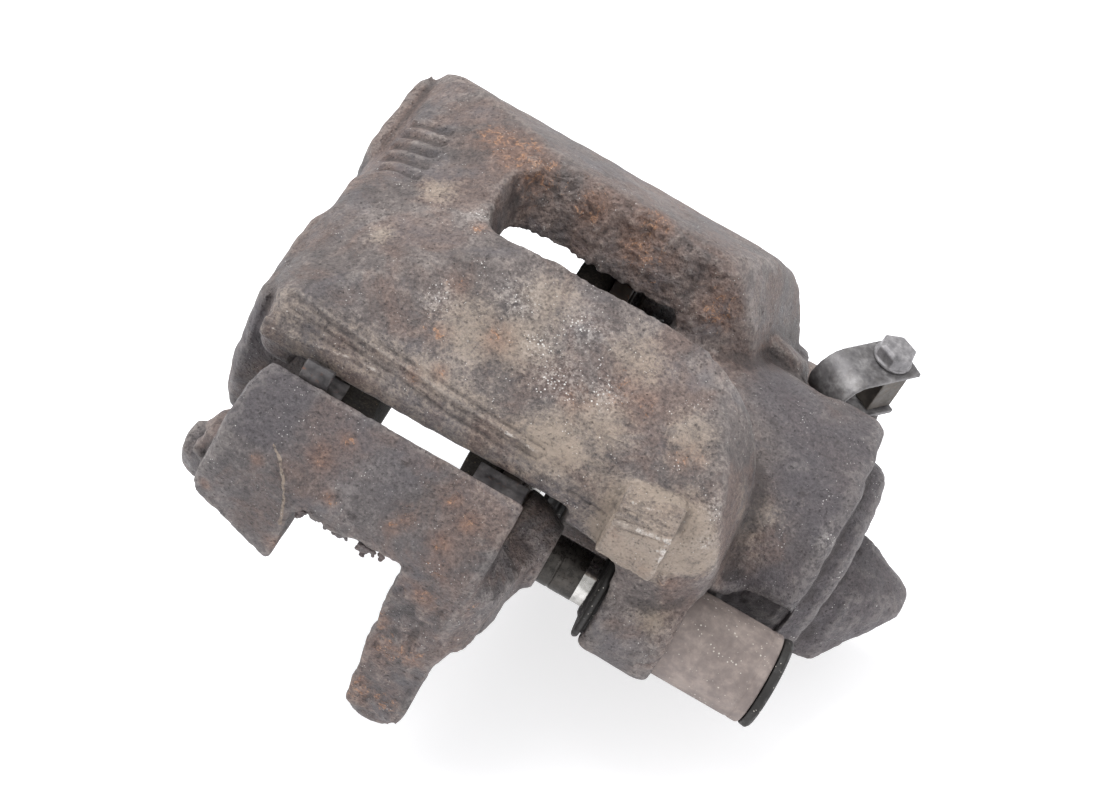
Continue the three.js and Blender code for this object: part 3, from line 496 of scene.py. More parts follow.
RIBLINE = [(39.2, -59.2, 68.0), (42.4, -60.5, 57.0), (47.1, -64.8, 47.9), (49.0, -62.3, 38.5)]
# a row of plain, equal, shallow dimples on the outboard shoulder
DIMPLES = [((-78.6 + 0.6, y, 82.2), (-67.5, y - 4.6, 90.6)) for y in (26.0, 20.4, 14.8, 9.2, 3.6)]


def cavities(P, E, N):
    """How hollow (positive) or proud (negative) each point is against its neighbours further off."""
    Q = relax(P, E, 14, 1.0, 0.8)
    h = ((Q - P) * N).sum(1)
    return h


# ---------------------------------------------------------------- housing

print("housing")
parts = [triangles("caliper_housing")]
me, P, E = remeshed("housing_casting", parts, 1.1)
N = normals(me, P)
x, y, z = P.T
inside = ((np.hypot(y, z - 47.5) < 33) & (x > 8) & (x < 56)) | (np.hypot(y + 50, z - 42) < 13.9) & (x > 18) | (np.hypot(y - 50, z - 42) < 13.9) & (x > 18)
w = np.where(inside, 0.12, 1.0)
# the block at the end of the near side stays crisp
crisp = smoothstep(16, 19, x) * smoothstep(41, 38, x) * smoothstep(-58, -61, y) * smoothstep(62, 66, z) + smoothstep(-53, -56, y) * smoothstep(70, 76, z) * smoothstep(39, 36, x)
crisp = np.clip(crisp, 0, 1)
P = relax(P, E, 3, w * (1 - 0.7 * crisp))
# the near shoulder falls in one curve to the cylinder
flow = 0.35 * w * smoothstep(16, 3, np.linalg.norm((P - [50, -34, 80]) / [1.0, 1.4, 1.0], axis=1)) + w * smoothstep(14, 3, np.linalg.norm(P - [52, 30, 80], axis=1))
# the far rail is well rounded where it turns down into the window and inboard
flow = flow + w * smoothstep(6.5, 2.0, np.abs(y - 18.5)) * smoothstep(92, 100, z) * smoothstep(-44, -34, x) * smoothstep(40, 30, x)
flow = flow + w * smoothstep(19, 6, np.linalg.norm(P - [31, 46, 86], axis=1))
P = relax(P, E, 30, np.clip(flow, 0, 1))
x, y, z = P.T
strip_zone = (y < -51) & (z > 63) & (x > -84) & (x < 42)
wall_zone = (np.abs(np.abs(y) - 5.4 - 0.459 * (z - 77.5)) < 3.0) & (z > 79) & (x > -52) & (x < 34)
block_zone = (x > 16) & (x < 40) & (y < -57) & (z > 62) & (z < 92)
dimple_zone = (x < -62) & (z > 78) & (y > -4) & (y < 31)
P, E = refine(me, P, strip_zone | wall_zone | dimple_zone | block_zone)
x, y, z = P.T
inside = ((np.hypot(y, z - 47.5) < 33) & (x > 8) & (x < 56)) | (np.hypot(y + 50, z - 42) < 13.9) & (x > 18) | (np.hypot(y - 50, z - 42) < 13.9) & (x > 18)
P = relax(P, E, 1, np.where(inside, 0.1, 1.0), 0.4)
N = normals(me, P)
x, y, z = P.T
near_side = smoothstep(-52, -57, y) * smoothstep(66, 72, z)
by_block = smoothstep(14, 19, x) * smoothstep(44, 38, x) * smoothstep(-54, -60, y) * smoothstep(58, 66, z)
inner_wall = smoothstep(3.4, 1.6, np.abs(np.abs(y) - 5.4 - 0.459 * (z - 77.5))) * smoothstep(76, 80, z) * smoothstep(-52, -44, x) * smoothstep(44, 30, x)
far_wall = inner_wall * (y > 0)
leather = smoothstep(40, 52, x) * (1 - inside)
# the flank of the cylinder starts at the shoulder's crest
flank = smoothstep(50, 56, x + 0.28 * (z - 80) + 0.10 * (y + 40)) * smoothstep(92, 84, z)
d = 0.26 * fbm(P, 11, 3, 1) + 0.10 * fbm(P, 3.2, 2, 5)
# far wall of the window: coarse lumps, pits and crust
c1, c2 = cells(P, 4.2, 31)
rough_wall = np.clip(far_wall + 0.45 * (inner_wall - far_wall), 0, 1)
c3, _ = cells(P, 2.2, 37)
d += rough_wall * (0.95 * fbm(P, 5.0, 4, 41, 0.62) - 0.5 * smoothstep(0.42, 0.12, c1) - 0.3 * smoothstep(0.40, 0.10, c3))
# scattered pits all over, and a crust near the window's outboard end
p1, _ = cells(P, 3.1, 53)
pitfield = smoothstep(0.05, 0.6, fbm(P, 16, 2, 59))
d -= 0.34 * pitfield * smoothstep(0.34, 0.10, p1) * (1 - near_side)
crust = blobs(P, [(-46, 10, 96, 9), (-50, 18, 96, 9), (-44, -4, 99, 5)])
d += crust * (0.55 * fbm(P, 3.6, 3, 67))
# ridged creases on the cylinder's flank
rid = 1 - np.abs(fbm(P, 2.6, 2, 71))
d += leather * (0.20 * (rid - 0.55) + 0.75 * fbm(P, 13, 3, 77))
# lines along the near side: rolled edges and grooves
run = near_side * smoothstep(-80, -74, x) * smoothstep(21, 15, x)
g1 = np.abs(z - np.interp(x, [s[0] for s in STRIP], [s[2] for s in STRIP]) + 0.35 * vnoise(np.stack([x / 9, x * 0, x * 0], 1), 3))
d -= run * 0.42 * smoothstep(0.85, 0.10, g1)
g2 = np.abs(z - np.interp(x, [s[0] for s in STRIP], [s[2] for s in STRIP]) + 2.6 + 0.3 * vnoise(np.stack([x / 7, x * 0, x * 0], 1), 5))
d -= run * 0.22 * smoothstep(0.75, 0.10, g2)
g3 = np.abs(z - np.interp(x, [s[0] for s in STRIP], [s[2] for s in STRIP]) - 2.4)
d += run * 0.10 * smoothstep(1.0, 0.1, g3)
ridge_line = line_distance(P, RIDGE)
on_ridge = smoothstep(-50, -53, y) * smoothstep(-79, -74, x) * smoothstep(8, -6, x)
d += on_ridge * 0.62 * smoothstep(1.0, 0.1, ridge_line) - on_ridge * 0.30 * smoothstep(0.8, 0.1, np.abs(ridge_line - 1.7)) * (z < 86)
d += run * 0.25 * smoothstep(0.9, 0.1, line_distance(P, SHEEN))
# dimples
for a, b in DIMPLES:
    d -= 0.95 * smoothstep(1.9, 0.5, line_distance(P, [a, b])) * (N[:, 2] > 0.2)
    d += 0.18 * smoothstep(0.9, 0.0, np.abs(line_distance(P, [a, b]) - 2.4)) * (N[:, 2] > 0.2)
# rib down the near boss, groove along the end block
d += 0.9 * smoothstep(1.7, 0.3, line_distance(P, RIBLINE)) * (1 - inside)
edge_line = line_distance(P, [(20.6, -65.6, 82.0), (35.6, -65.6, 85.8)])
d -= 0.35 * smoothstep(0.8, 0.1, np.abs(edge_line - 1.6)) * (y < -60)
d -= 0.5 * smoothstep(0.9, 0.2, line_distance(P, [(20, -60.4, 87.2), (34.6, -60.6, 89.2)]))
# the outboard fingers are coarse
out = smoothstep(-80, -84, x)
d += out * 0.4 * fbm(P, 7, 3, 81)
d = np.where(inside, 0.0, d)
d = np.clip(d, -1.3, 0.75)
P = P + N * d[:, None]
# a ragged hollow low on the flank, over the near guide bush
rim = np.interp(x, [56, 61, 67, 73, 77], [50.0, 52.6, 53.6, 53.0, 49.5]) + 0.5 * fbm(P, 4, 2, 83)
recess = smoothstep(0.5, -0.5, z - rim) * smoothstep(33, 36, z) * smoothstep(56.2, 57.6, x) * smoothstep(77.6, 76.2, x) * smoothstep(-30, -33, y) * (y > -39.5) * (1 - inside)
P[:, 1] += (4.2 + 0.7 * fbm(P, 3.0, 3, 89)) * recess
P = keep_bore(P, 0, 47.5, 10, 55, 27.12)
P = keep_bore(P, -50, 42, 24, 110, 13.05)
P = keep_bore(P, 50, 42, 24, 60, 13.05)
# the bleed screw's slanting hole keeps its size, and its boss keeps a flat face under the hexagon
ba = np.array([0.0, 0.5, -0.8660254])
rel = P - np.array([68.0, 24.0, 20.5])
bh = rel @ ba
radial = rel - bh[:, None] * ba
br = np.linalg.norm(radial, axis=1)
tight = (bh > -8.5) & (bh < 6.2) & (br < 4.0) & (br > 0.4)
P = P + np.where(tight, (4.0 - br) / np.maximum(br, 0.4), 0.0)[:, None] * radial
proud = (bh > 6.25) & (bh < 9.0) & (br < 6.2)
P = P - np.where(proud, bh - 6.25, 0.0)[:, None] * ba
N = normals(me, P)
h = cavities(P, E, N)
me.update()
ob = bpy.data.objects.new("housing_casting", me)
upw = N @ UP
patchy = smoothstep(-0.5, 0.2, vnoise(P / 3.4, 45))
# rubbed bare along the ridge and the strip; along SHEEN a painted highlight line
bare_and_sheen = (0.55 * smoothstep(1.0, 0.3, line_distance(P, RIDGE)) * smoothstep(-50, -53, y) + 0.62 * smoothstep(0.9, 0.2, line_distance(P, SHEEN)) * near_side + 0.12 * smoothstep(1.0, 0.2, line_distance(P, STRIP)) * near_side) * (0.35 + 0.65 * patchy)
settle(ob, BODY["caliper_housing"], HOUSING, "housing_iron", "caliper_housing", attrs={
    "rust": 0.9 * blobs(P, RUST_H, 1.7) + 0.25 * rough_wall + 0.3 * crust + 0.25 * smoothstep(-8, 6, y) * smoothstep(-80, -60, x) * smoothstep(30, 0, x) * smoothstep(80, 90, z),
    "dust": 0.75 * blobs(P, DUST_H, 1.35) + 0.6 * by_block + 0.10 * smoothstep(0.2, 0.9, upw) * smoothstep(20, -20, y) + 0.45 * near_side + 0.55 * blobs(P, WARM_H, 1.2),
    # dark mask, mostly painted shade: downward-facing faces, the bores, the recess, the outboard finger's low side and
    # the spots; the flank's darkening is partly painted shade; also darker towards the rear end and along the far
    # side's top
    "dark": blobs(P, DARK_H, 1.2) + 0.36 * smoothstep(76, 80, x) + 0.55 * smoothstep(0.1, -0.6, upw) + 0.8 * inside + 1.0 * recess + 0.55 * flank * smoothstep(55, 70, x) * (1 - 0.8 * by_block) * (1 - 0.8 * blobs(P, WARM_H, 1.0)) + 0.25 * smoothstep(16, 20, y) * smoothstep(92, 96, z) + 0.5 * smoothstep(-79, -83, x) * smoothstep(75, 68, z),
    "speck": blobs(P, SPECK_H, 1.2) + 1.2 * smoothstep(1.5, 0.3, edge_line) + 0.9 * smoothstep(1.4, 0.3, line_distance(P, [(35.9, -65.6, 85.6), (36.2, -65.8, 70.0)])),
    # the recess gets the full hollow darkening: painted shade
    "cavity": np.maximum(smoothstep(0.02, 0.35, h) * (1 - 0.4 * rough_wall), 1.0 * recess),
    "edge": smoothstep(0.05, 0.40, -h),
    "bare_and_sheen": bare_and_sheen,
})

# the machined and scraped block that ends the near side
me, P, E = remeshed("near_end_block", [hull_of([
    (20.3, -57, 65), (20.5, -64.8, 69), (20.7, -65.75, 72), (20.7, -65.75, 82.0), (19.9, -60.7, 87.1), (19.9, -57, 88.4),
    (35.9, -57, 65.4), (36.1, -65.2, 69), (36.3, -65.95, 72), (35.7, -65.75, 85.9), (35.1, -60.7, 89.2), (35.1, -57, 90.2)])], 0.42)
P = relax(P, E, 2)
N = normals(me, P)
x, y, z = P.T
upper = (y > -65.3) & (z > 82)
edge_line = line_distance(P, [(20.7, -65.75, 82.0), (35.7, -65.75, 85.9)])
end_line = line_distance(P, [(35.8, -65.75, 85.6), (36.3, -65.95, 71.0), (36.0, -65.0, 68.6)])
d = 0.22 * fbm(P, 4.0, 3, 211) + 0.10 * fbm(P, 1.3, 2, 213)
d -= 0.30 * smoothstep(0.5, 0.1, np.abs(edge_line - 1.3 + 0.3 * vnoise(P / 3, 5)))
d -= 0.24 * smoothstep(0.5, 0.1, np.abs(edge_line - 3.4 + 0.4 * vnoise(P / 4, 7))) * upper
d -= 0.25 * smoothstep(0.35, 0.8, vnoise(P / 1.6, 9)) * smoothstep(1.6, 0.4, np.minimum(edge_line, end_line))
P = P + N * d[:, None]
N = normals(me, P)
h = cavities(P, E, N)
near_edge = np.minimum(edge_line, end_line)
settle(bpy.data.objects.new("near_end_block", me), BODY["caliper_housing"], HOUSING, "housing_iron", "caliper_housing", attrs={
    "rust": 0.25 + 0.5 * blobs(P, [(22.5, -65.7, 79.5, 2.0), (33.0, -65.7, 71.5, 2.2)]),
    "dust": 0.95 - 0.2 * upper,
    "dark": 0 * x,
    "speck": 0.3 * smoothstep(1.5, 0.3, near_edge),
    "bare_and_sheen": 0.78 * smoothstep(1.3 + 0.9 * vnoise(P / 2.2, 41), 0.2, near_edge) * smoothstep(-0.45, 0.15, vnoise(P / 3.1, 43)) + 0.45 * smoothstep(0.9, 0.2, np.abs(edge_line - 6.2)) * upper + 0.5 * smoothstep(3.4, 1.0, line_distance(P, [(35.9, -65.6, 84.0), (33.0, -65.8, 77.0)])),
    "cavity": smoothstep(0.03, 0.30, h),
    "edge": np.maximum(smoothstep(0.05, 0.3, -h), smoothstep(1.1, 0.3, near_edge)),
})

# ---------------------------------------------------------------- bracket

print("bracket")
parts = [triangles("caliper_bracket")]
rs = np.random.RandomState(4)
# flakes of rust that hang under the near arm, and lumps on the tie bar's end
for i in range(46):
    t = rs.rand()
    xx = -50 + 36 * t + rs.randn() * 0.5
    parts.append(ball((xx, -86.2 + rs.rand() * 4.5, 50.6 - 0.9 * abs(rs.randn()) + 0.03 * (xx + 50)), (0.5 + 0.9 * rs.rand(), 0.4 + 0.7 * rs.rand(), 0.5 + 1.3 * rs.rand()), 5, 7))
for i in range(22):
    a = rs.rand() * 6.28
    parts.append(ball((-79.0 + rs.rand() * 3.0, -75.0 + 5.2 * math.cos(a) * rs.rand(), 43.5 + 6.5 * math.sin(a)), (1.0 + rs.rand(), 1.1 + rs.rand() * 1.2, 1.2 + rs.rand() * 1.4), 5, 8))
me, P, E = remeshed("bracket_casting", parts, 0.85)
x, y, z = P.T
keep = ((np.abs(np.abs(y) - 62.5) < 6.5) & (z > 38) & (z < 52)) | (x > -1.2) & (z < 12) | (np.hypot(np.abs(y) - 50, z - 42) < 8.5) & (x > -3)
w = np.where(keep, 0.15, 1.0)
P = relax(P, E, 3, w)
outer = smoothstep(-80, -85.5, y) * smoothstep(46, 56, z) + smoothstep(80, 85.5, y) * smoothstep(46, 54, z)
P = relax(P, E, 34, np.clip(outer, 0, 1) * w)
N = normals(me, P)
x, y, z = P.T
limb = smoothstep(-24, -18, x) * smoothstep(52, 44, z) * smoothstep(-72, -78, y)
rougher = smoothstep(-20, -12, x) * smoothstep(54, 44, z) + smoothstep(-40, -70, y) * smoothstep(46, 40, z) * smoothstep(-50, -44, x)
d = (0.12 + 0.20 * np.clip(rougher, 0, 1)) * fbm(P, 10, 3, 101) + 0.09 * fbm(P, 3.0, 2, 105)
p1, p2 = cells(P, 3.6, 111)
pf = smoothstep(-0.1, 0.5, fbm(P, 14, 2, 113))
d -= 0.42 * pf * smoothstep(0.36, 0.08, p1)
# layered, streaky scale on the limb and the leg
streak = fbm(P * [1.0, 1.0, 0.45], 3.0, 3, 121)
d += limb * (0.55 * streak + 0.5 * fbm(P, 6.5, 2, 127))
d += 0.20 * smoothstep(-50, -60, x) * fbm(P * [1, 1, 0.5], 2.4, 2, 131)
# casting flash down the outboard leg
fl = line_distance(P, FLASH)
d += 0.25 * smoothstep(0.95, 0.2, fl)
# coarse lower edge of the arm
low = smoothstep(56, 50.5, z) * smoothstep(48.0, 49.5, z) * smoothstep(-52, -48, x) * smoothstep(-12, -18, x) * (np.abs(y) > 70)
d += low * 0.7 * fbm(P, 2.4, 2, 141)
d = np.where(keep, d * 0.12, d)
d = np.clip(d, -1.2, 0.8)
# nothing grows towards the parts that slide past
d = np.where((np.abs(y) < 69.5) & (d > 0.12), 0.12, d)
P = P + N * d[:, None]
for s in (-1, 1):
    P = keep_bore(P, s * 74, 0, -24, 6, 6.1)
N = normals(me, P)
h = cavities(P, E, N)
ob = bpy.data.objects.new("bracket_casting", me)
upw = N @ UP
settle(ob, BODY["caliper_bracket"], BRACKET, "bracket_iron", "caliper_bracket", attrs={
    "rust": blobs(P, RUST_B, 1.5) + 0.35 * limb + 0.3 * low,
    "dust": 0.5 * smoothstep(0.4, 0.95, upw) * smoothstep(-20, 0, x) + 0.3 * limb,
    # dark mask: painted shade on downward-facing faces and at the outboard end's top; also darker on the upper outboard
    # half of the arms
    "dark": 0.75 * smoothstep(-56, -66, x) * smoothstep(60, 66, z) + 0.5 * smoothstep(0.0, -0.6, upw) + 0.45 * smoothstep(58, 66, z) * smoothstep(-18, -30, x),
    "speck": 0.25 * blobs(P, [(1.0, -85, 52, 6), (-8, -86, 30, 6)]),
    "bare_and_sheen": 0 * x,
    "cavity": smoothstep(0.02, 0.32, h),
    "edge": smoothstep(0.05, 0.36, -h),
})

# a thin casting flash down the leg, and shreds of rust that hang under the arm
rs = np.random.RandomState(19)
beads, bits = [], []
for a, b in zip(FLASH[:-1], FLASH[1:]):
    a, b = np.array(a), np.array(b)
    for t in np.linspace(0, 1, max(2, int(np.linalg.norm(b - a) / 0.35))):
        q = a + (b - a) * t + [0.25 * vnoise(np.array([[t * 3 + a[2], 0.5, 0.5]]), 3)[0], -0.05, 0]
        r = 0.42 + 0.16 * rs.rand()
        beads.append(ball(tuple(q), (r, r + 0.15, r), 6, 8))
for xx, n in [(-48.5, 3), (-47.6, 4), (-46.9, 2), (-38.0, 2), (-36.2, 3), (-34.4, 2), (-31.0, 3), (-29.6, 4), (-28.9, 5), (-27.0, 2), (-41.0, 1), (-24.5, 2)]:
    for k in range(2 + n):
        q = np.array([xx + rs.randn() * 0.30, -86.2 + rs.rand() * 1.2, 51.0 - 0.55 * k - 0.2 * rs.rand()])
        bits.append(ball(tuple(q), (0.5 + 0.6 * rs.rand(), 0.3 + 0.4 * rs.rand(), 0.5 + 0.4 * rs.rand()), 6, 8))
for name, lumps, voxel in (("casting_flash", beads, 0.24), ("hanging_rust", bits, 0.26)):
    me, P, E = remeshed(name, lumps, voxel)
    P = relax(P, E, 1)
    N = normals(me, P)
    P = P + N * (0.16 * fbm(P, 1.6, 3, 227))[:, None]
    normals(me, P)
    one = np.ones(len(P))
    settle(bpy.data.objects.new(name, me), BODY["caliper_bracket"], BRACKET, "bracket_iron", "caliper_bracket", attrs={
        "rust": one * (0.15 if name == "casting_flash" else 0.35), "dust": one * (0.9 if name == "casting_flash" else 0.1), "bare_and_sheen": one * (0.35 if name == "casting_flash" else 0.0),
        "dark": one * (0 if name == "casting_flash" else 0.5), "speck": 0 * one, "cavity": 0 * one, "edge": 0 * one})

# ---------------------------------------------------------------- smaller formed pieces


def formed(node, voxel, rounds, material, slot, amp=0.0, size=4.0, seed=7, extra=None, after=None):
    """A pressed, moulded or machined piece: rounded edges and a slightly uneven face."""
    me, P, E = remeshed(node + "_detail", [triangles(node)] + (extra or []), voxel)
    P = relax(P, E, rounds)
    N = normals(me, P)
    d = amp * fbm(P, size, 3, seed)
    if after:
        d = after(P, N, d)
    P = P + N * d[:, None]
    normals(me, P)
    ob = bpy.data.objects.new(node + "_detail", me)
    return settle(ob, BODY[node], material, slot, node)


print("pads, clips")
grit = lambda P, N, d: d - 0.22 * smoothstep(0.30, 0.1, cells(P, 2.6, 5)[0])
formed("inner_pad_plate", 0.7, 3, PLATE, "pad_steel", 0.10, 6)
formed("outer_pad_plate", 0.7, 3, PLATE, "pad_steel", 0.10, 6, 17)
formed("inner_pad_lining", 0.7, 2, FRICTION, "friction", 0.10, 4, 9, after=grit)
formed("outer_pad_lining", 0.7, 2, FRICTION, "friction", 0.10, 4, 19, after=grit)
formed("inner_pad_shim", 0.3, 2, PLATE, "pad_steel", 0.02, 8)
formed("outer_pad_shim", 0.3, 2, PLATE, "pad_steel", 0.02, 8, 3)
formed("inner_pad_spring", 0.3, 2, RAIL, "spring_steel", 0.02, 5)
formed("outer_pad_spring", 0.25, 2, RAIL, "spring_steel", 0.02, 5)
# the outer near clip ends in a curl that stands up past the arm
CURL = [(-66.8, 69.2), (-66.85, 72.6), (-66.5, 74.6), (-65.6, 76.0), (-64.5, 76.5), (-63.5, 76.0), (-63.0, 74.9), (-63.05, 73.6)]
curl = []
for a, b in zip(CURL[:-1], CURL[1:]):
    a, b = np.array(a), np.array(b)
    u = (b - a) / np.linalg.norm(b - a)
    v = np.array([-u[1], u[0]]) * 0.42
    a, b = a - u * 0.12, b + u * 0.12
    curl.append(hull_of([(xx, *(q + k * v)) for xx in (-64.9, -57.0) for q in (a, b) for k in (-1, 1)]))
for n in ("rail_clip_outer_near", "rail_clip_outer_far", "rail_clip_inner_near", "rail_clip_inner_far"):
    formed(n, 0.24, 2, RAIL, "spring_steel", 0.08 if n == "rail_clip_outer_near" else 0.04, 4, 23, extra=curl if n == "rail_clip_outer_near" else None)
formed("hose_clip", 0.33, 4, CLIPMETAL, "clip_steel", 0.05, 7, 29)
formed("hose_clip_spacer", 0.30, 4, CLIPDARK, "clip_steel", 0.06, 5, 31)
formed("hose_clip_bolt", 0.26, 5, CLIPBOLT, "clip_steel", 0.04, 4, 37)

# ---------------------------------------------------------------- turned pieces


def rounded(profile, r):
    """Closed profile of (x, r) with each corner eased by a short arc."""
    out, n = [], len(profile)
    for i in range(n):
        p, a, b = (np.array(profile[j % n], float) for j in (i, i - 1, i + 1))
        if p[1] < 1e-6:
            out.append(tuple(p)); continue
        u, v = a - p, b - p
        lu, lv = np.linalg.norm(u), np.linalg.norm(v)
        k = min(r, 0.42 * lu, 0.42 * lv)
        s, e = p + u / lu * k, p + v / lv * k
        for t in (0, 0.25, 0.5, 0.75, 1):
            out.append(tuple((1 - t) ** 2 * s + 2 * t * (1 - t) * p + t * t * e))
    return out


def turned(name, nodes, profile, centre, axis=(1, 0, 0), material=None, slot="clip_steel", segs=112, ease=0.35, wobble=None):
    """Profile of (distance along the axis, radius), turned about the axis through centre."""
    pr = rounded(profile, ease)
    open_ends = pr[0][1] < 1e-6 and pr[-1][1] < 1e-6
    A = np.array(axis, float); A /= np.linalg.norm(A)
    B = np.cross(A, [0, 0, 1.0]) if abs(A[2]) < 0.9 else np.cross(A, [1.0, 0, 0])
    B /= np.linalg.norm(B)
    C = np.cross(A, B)
    P, F, rings = [], [], []
    for h, r in pr:
        if r < 1e-6:
            rings.append([len(P)]); P.append(np.array(centre) + A * h); continue
        ring = []
        for s in range(segs):
            a = 2 * math.pi * s / segs
            k = 1 + (wobble(h, a) if wobble else 0)
            ring.append(len(P)); P.append(np.array(centre) + A * h + r * k * (B * math.cos(a) + C * math.sin(a)))
        rings.append(ring)
    pairs = list(zip(rings[:-1], rings[1:])) + ([] if open_ends else [(rings[-1], rings[0])])
    for a, b in pairs:
        if len(a) == 1 and len(b) == 1:
            continue
        for s in range(segs):
            t = (s + 1) % segs
            if len(a) == 1:
                F.append((a[0], b[t], b[s]))
            elif len(b) == 1:
                F.append((a[s], a[t], b[0]))
            else:
                F.append((a[s], a[t], b[t], b[s]))
    me = bpy.data.meshes.new(name)
    me.from_pydata([tuple(np.array(p) * MM) for p in P], [], F)
    import bmesh
    bm = bmesh.new(); bm.from_mesh(me)
    bmesh.ops.recalc_face_normals(bm, faces=bm.faces)
    bm.to_mesh(me); bm.free()
    ob = bpy.data.objects.new(name, me)
    return settle(ob, BODY[nodes[0]], material, slot, *nodes)


print("turned pieces")
OX, OZ = -22.0, 47.5
turned("piston_turned", ["caliper_piston"], [
    (19.9, 22), (19.9, 26), (20.9, 27), (23.9, 27), (23.9, 25.4), (26.9, 25.4), (26.9, 27), (70.5, 27), (72, 25.5), (72, 0), (64, 0), (64, 18), (60, 22)],
    (OX, 0, OZ), material=CHROME, slot="plated_steel", ease=0.3)
turned("seal_ring", ["piston_seal"], [(40.3, 27.07), (45.7, 27.07), (45.7, 30.6), (40.3, 30.6)], (OX, 0, OZ), material=RUBBER, slot="black_rubber")
turned("dust_boot_folds", ["piston_dust_boot"], [
    (25.2, 27.4), (26.4, 27.4), (27.8, 29.2), (29.2, 27.6), (30.8, 28.3), (34, 28.3), (34, 30.1), (30.6, 30.1), (29.6, 31.4), (28, 30.6), (26.4, 31)],
    (OX, 0, OZ), material=RUBBER, slot="black_rubber", ease=0.5)
for side, s, be, pe in (("near", -1, 98.0, 84.0), ("far", 1, 75.5, 61.5)):
    c = (OX, s * 50.0, OZ - 5.5)
    pin = turned(f"guide_pin_{side}_turned", [f"guide_pin_{side}"], [
        (21.8, 0), (21.8, 4.4), (22.8, 5.2), (28.4, 5.2), (28.4, 6.2), (29, 7), (37.0, 7), (37.15, 6.85), (37.6, 6.85), (37.75, 7), (44.2, 7), (pe - 1, 7), (pe, 6), (pe, 4.2), (pe - 6, 4.2), (pe - 7.5, 0)],
        c, material=CHROME, slot="plated_steel", ease=0.2)
    pin.data.materials.append(PINSTEEL)
    for f in pin.data.polygons:
        f.material_index = 1 if f.center[0] / MM - OX < 44.2 else 0
    bush = turned(f"guide_bush_{side}_moulded", [f"guide_bush_{side}"], [
        (47.6, 7.05), (47.6, 8.6), (48.3, 9.4), (48.9, 14.2), (49.7, 14.8), (50.7, 14.2), (50.7, 12.85), (52, 12.85), (be - 4.2, 12.85), (be - 3.9, 12.7), (be - 3.2, 12.7), (be - 2.9, 12.85), (be - 0.6, 12.85), (be, 12.25), (be, 9.6), (be - 7, 9.6), (be - 8, 7.05)],
        c, material=SLEEVE, slot="dusty_rubber", ease=0.4)
    bush.data.materials.append(RUBBER)
    for f in bush.data.polygons:
        f.material_index = 1 if f.center[0] / MM - OX < 51.5 else 0
    turned(f"bush_cap_{side}_moulded", [f"bush_cap_{side}"], [
        (be - 6.4, 0), (be - 6.4, 9), (be + 0.3, 9.3), (be + 0.3, 12.6), (be + 2.2, 12.9), (be + 3, 12), (be + 2.75, 10), (be + 2.45, 9.2), (be + 2.6, 0)],
        c, material=RUBBER, slot="cap_plastic", ease=0.35)
BL, BA = (90 + OX, 24.0, -27 + OZ), (0, 0.5, -0.8660254)
hexed = lambda h, a: (0.0 if not 7.0 < h < 11.3 else -0.06 * (1 - abs(math.cos(3 * a)) ** 0.5))
turned("bleed_screw_turned", ["bleed_screw"], [
    (-7.6, 0), (-5.6, 2.6), (-4, 2.6), (-4, 3.72), (6.6, 3.72), (6.6, 5), (11.5, 5), (12.4, 3), (18, 2.9), (18.6, 3.3), (20, 2.5), (20, 0)],
    BL, BA, CLIPDARK, "clip_steel", 96, 0.15, hexed)
turned("bleed_cap_moulded", ["bleed_cap"], [
    (13, 3.7), (13, 5.4), (20, 5), (22, 4.2), (22.6, 2.5), (22.6, 0), (20.6, 0), (20.6, 3.7)], BL, BA, RUBBER, "black_rubber", 96, 0.3)

# ---------------------------------------------------------------- floor, light, camera

U = Vector(UP)
low = min(float((np.array([tuple(v.co) for v in NODES[n].data.vertices]) @ UP).min()) for n in NODES)
turn = U.to_track_quat("Z", "Y")
fm = bpy.data.meshes.new("floor")
S = 2.5
fm.from_pydata([(-S, -S, 0), (S, -S, 0), (S, S, 0), (-S, S, 0)], [], [(0, 1, 2, 3)])
floor = bpy.data.objects.new("floor", fm)
floor.rotation_mode = "QUATERNION"
floor.rotation_quaternion = turn
floor.location = U * (low - 0.0006)
bpy.context.scene.collection.objects.link(floor)
m = bpy.data.materials.new("floor_white"); m.use_nodes = True
nt = m.node_tree
b = nt.nodes["Principled BSDF"]
b.inputs["Base Color"].default_value = (0.66, 0.66, 0.68, 1)
b.inputs["Emission Color"].default_value = (1.0, 1.0, 1.0, 1)
b.inputs["Emission Strength"].default_value = 0.60
b.inputs["Roughness"].default_value = 0.85
b.inputs["Specular IOR Level"].default_value = 0.2
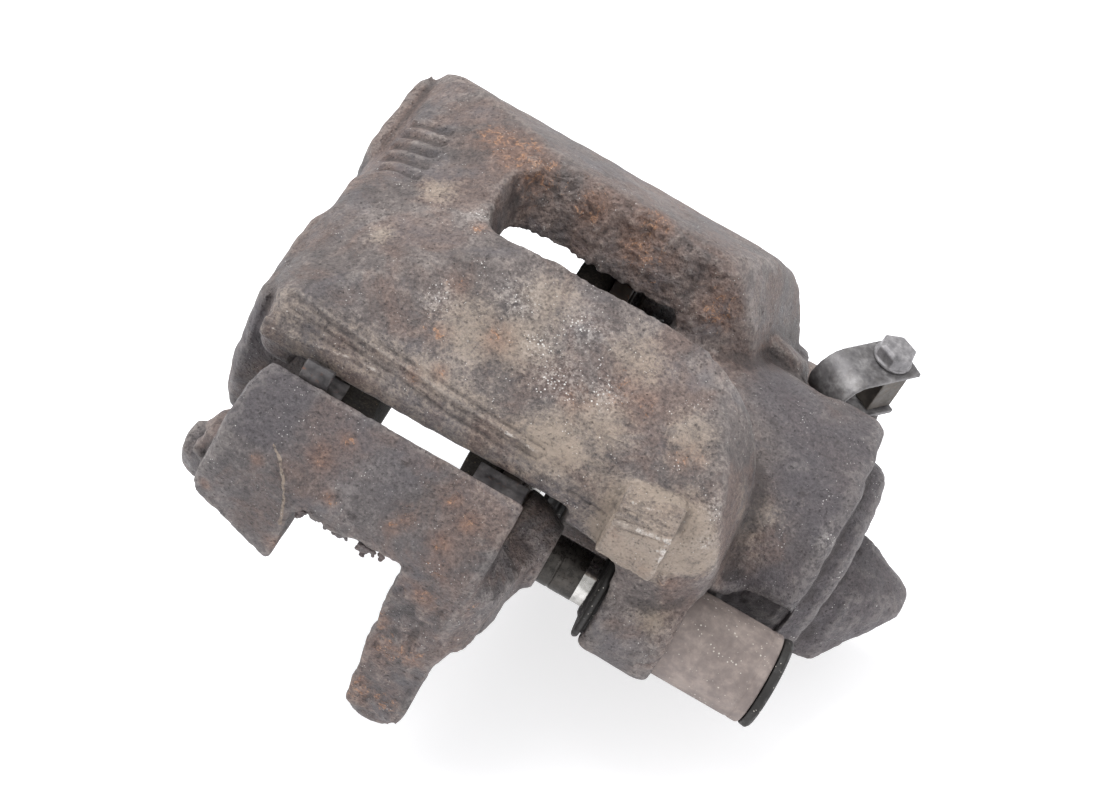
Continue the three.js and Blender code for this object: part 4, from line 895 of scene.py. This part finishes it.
geo, tr, mx = nt.nodes.new("ShaderNodeNewGeometry"), nt.nodes.new("ShaderNodeBsdfTransparent"), nt.nodes.new("ShaderNodeMixShader")
nt.links.new(geo.outputs["Backfacing"], mx.inputs[0])
nt.links.new(b.outputs[0], mx.inputs[1]); nt.links.new(tr.outputs[0], mx.inputs[2])
nt.links.new(mx.outputs[0], nt.nodes["Material Output"].inputs["Surface"])
fm.materials.append(m)

world = bpy.data.worlds.new("studio"); bpy.context.scene.world = world
world.use_nodes = True
world.node_tree.nodes["Background"].inputs[0].default_value = (1.0, 1.0, 1.0, 1)
world.node_tree.nodes["Background"].inputs[1].default_value = 0.82


def area(name, at, to, size, power):
    l = bpy.data.lights.new(name, "AREA")
    l.shape, l.size, l.energy = "SQUARE", size, power
    o = bpy.data.objects.new(name, l)
    o.location = Vector(at)
    o.rotation_mode = "QUATERNION"
    o.rotation_quaternion = (Vector(to) - Vector(at)).to_track_quat("-Z", "Y")
    bpy.context.scene.collection.objects.link(o)


centre = Vector((0.0, 0.0, 0.05))
area("overhead", centre + U * 1.2 + Vector((-0.25, 0.30, 0)), centre, 0.95, 18.0)
area("front", centre + Vector((0.75, -0.75, 0.55)), centre, 0.8, 5.0)
area("left", centre + Vector((-0.9, -0.1, 0.75)), centre, 0.9, 4.0)

cam = bpy.data.cameras.new("camera")
cam.sensor_width, cam.sensor_fit, cam.lens = 36.0, "HORIZONTAL", 85.09
cam.clip_start, cam.clip_end = 0.05, 20
co = bpy.data.objects.new("camera", cam)
R = np.array([[0.867, 0.356, 0.349], [-0.499, 0.604, 0.622], [0.011, -0.713, 0.701]])
u_, _, v_ = np.linalg.svd(R)
R = u_ @ v_
M = Matrix([list(R[:, 0]), list(R[:, 1]), list(R[:, 2])])
co.rotation_mode = "QUATERNION"
co.rotation_quaternion = M.to_quaternion()
co.location = (-0.0007, -0.5092, 0.5437)
bpy.context.scene.collection.objects.link(co)
bpy.context.scene.camera = co
bpy.context.scene.view_settings.view_transform = "Standard"
bpy.context.scene.view_settings.look = "None"
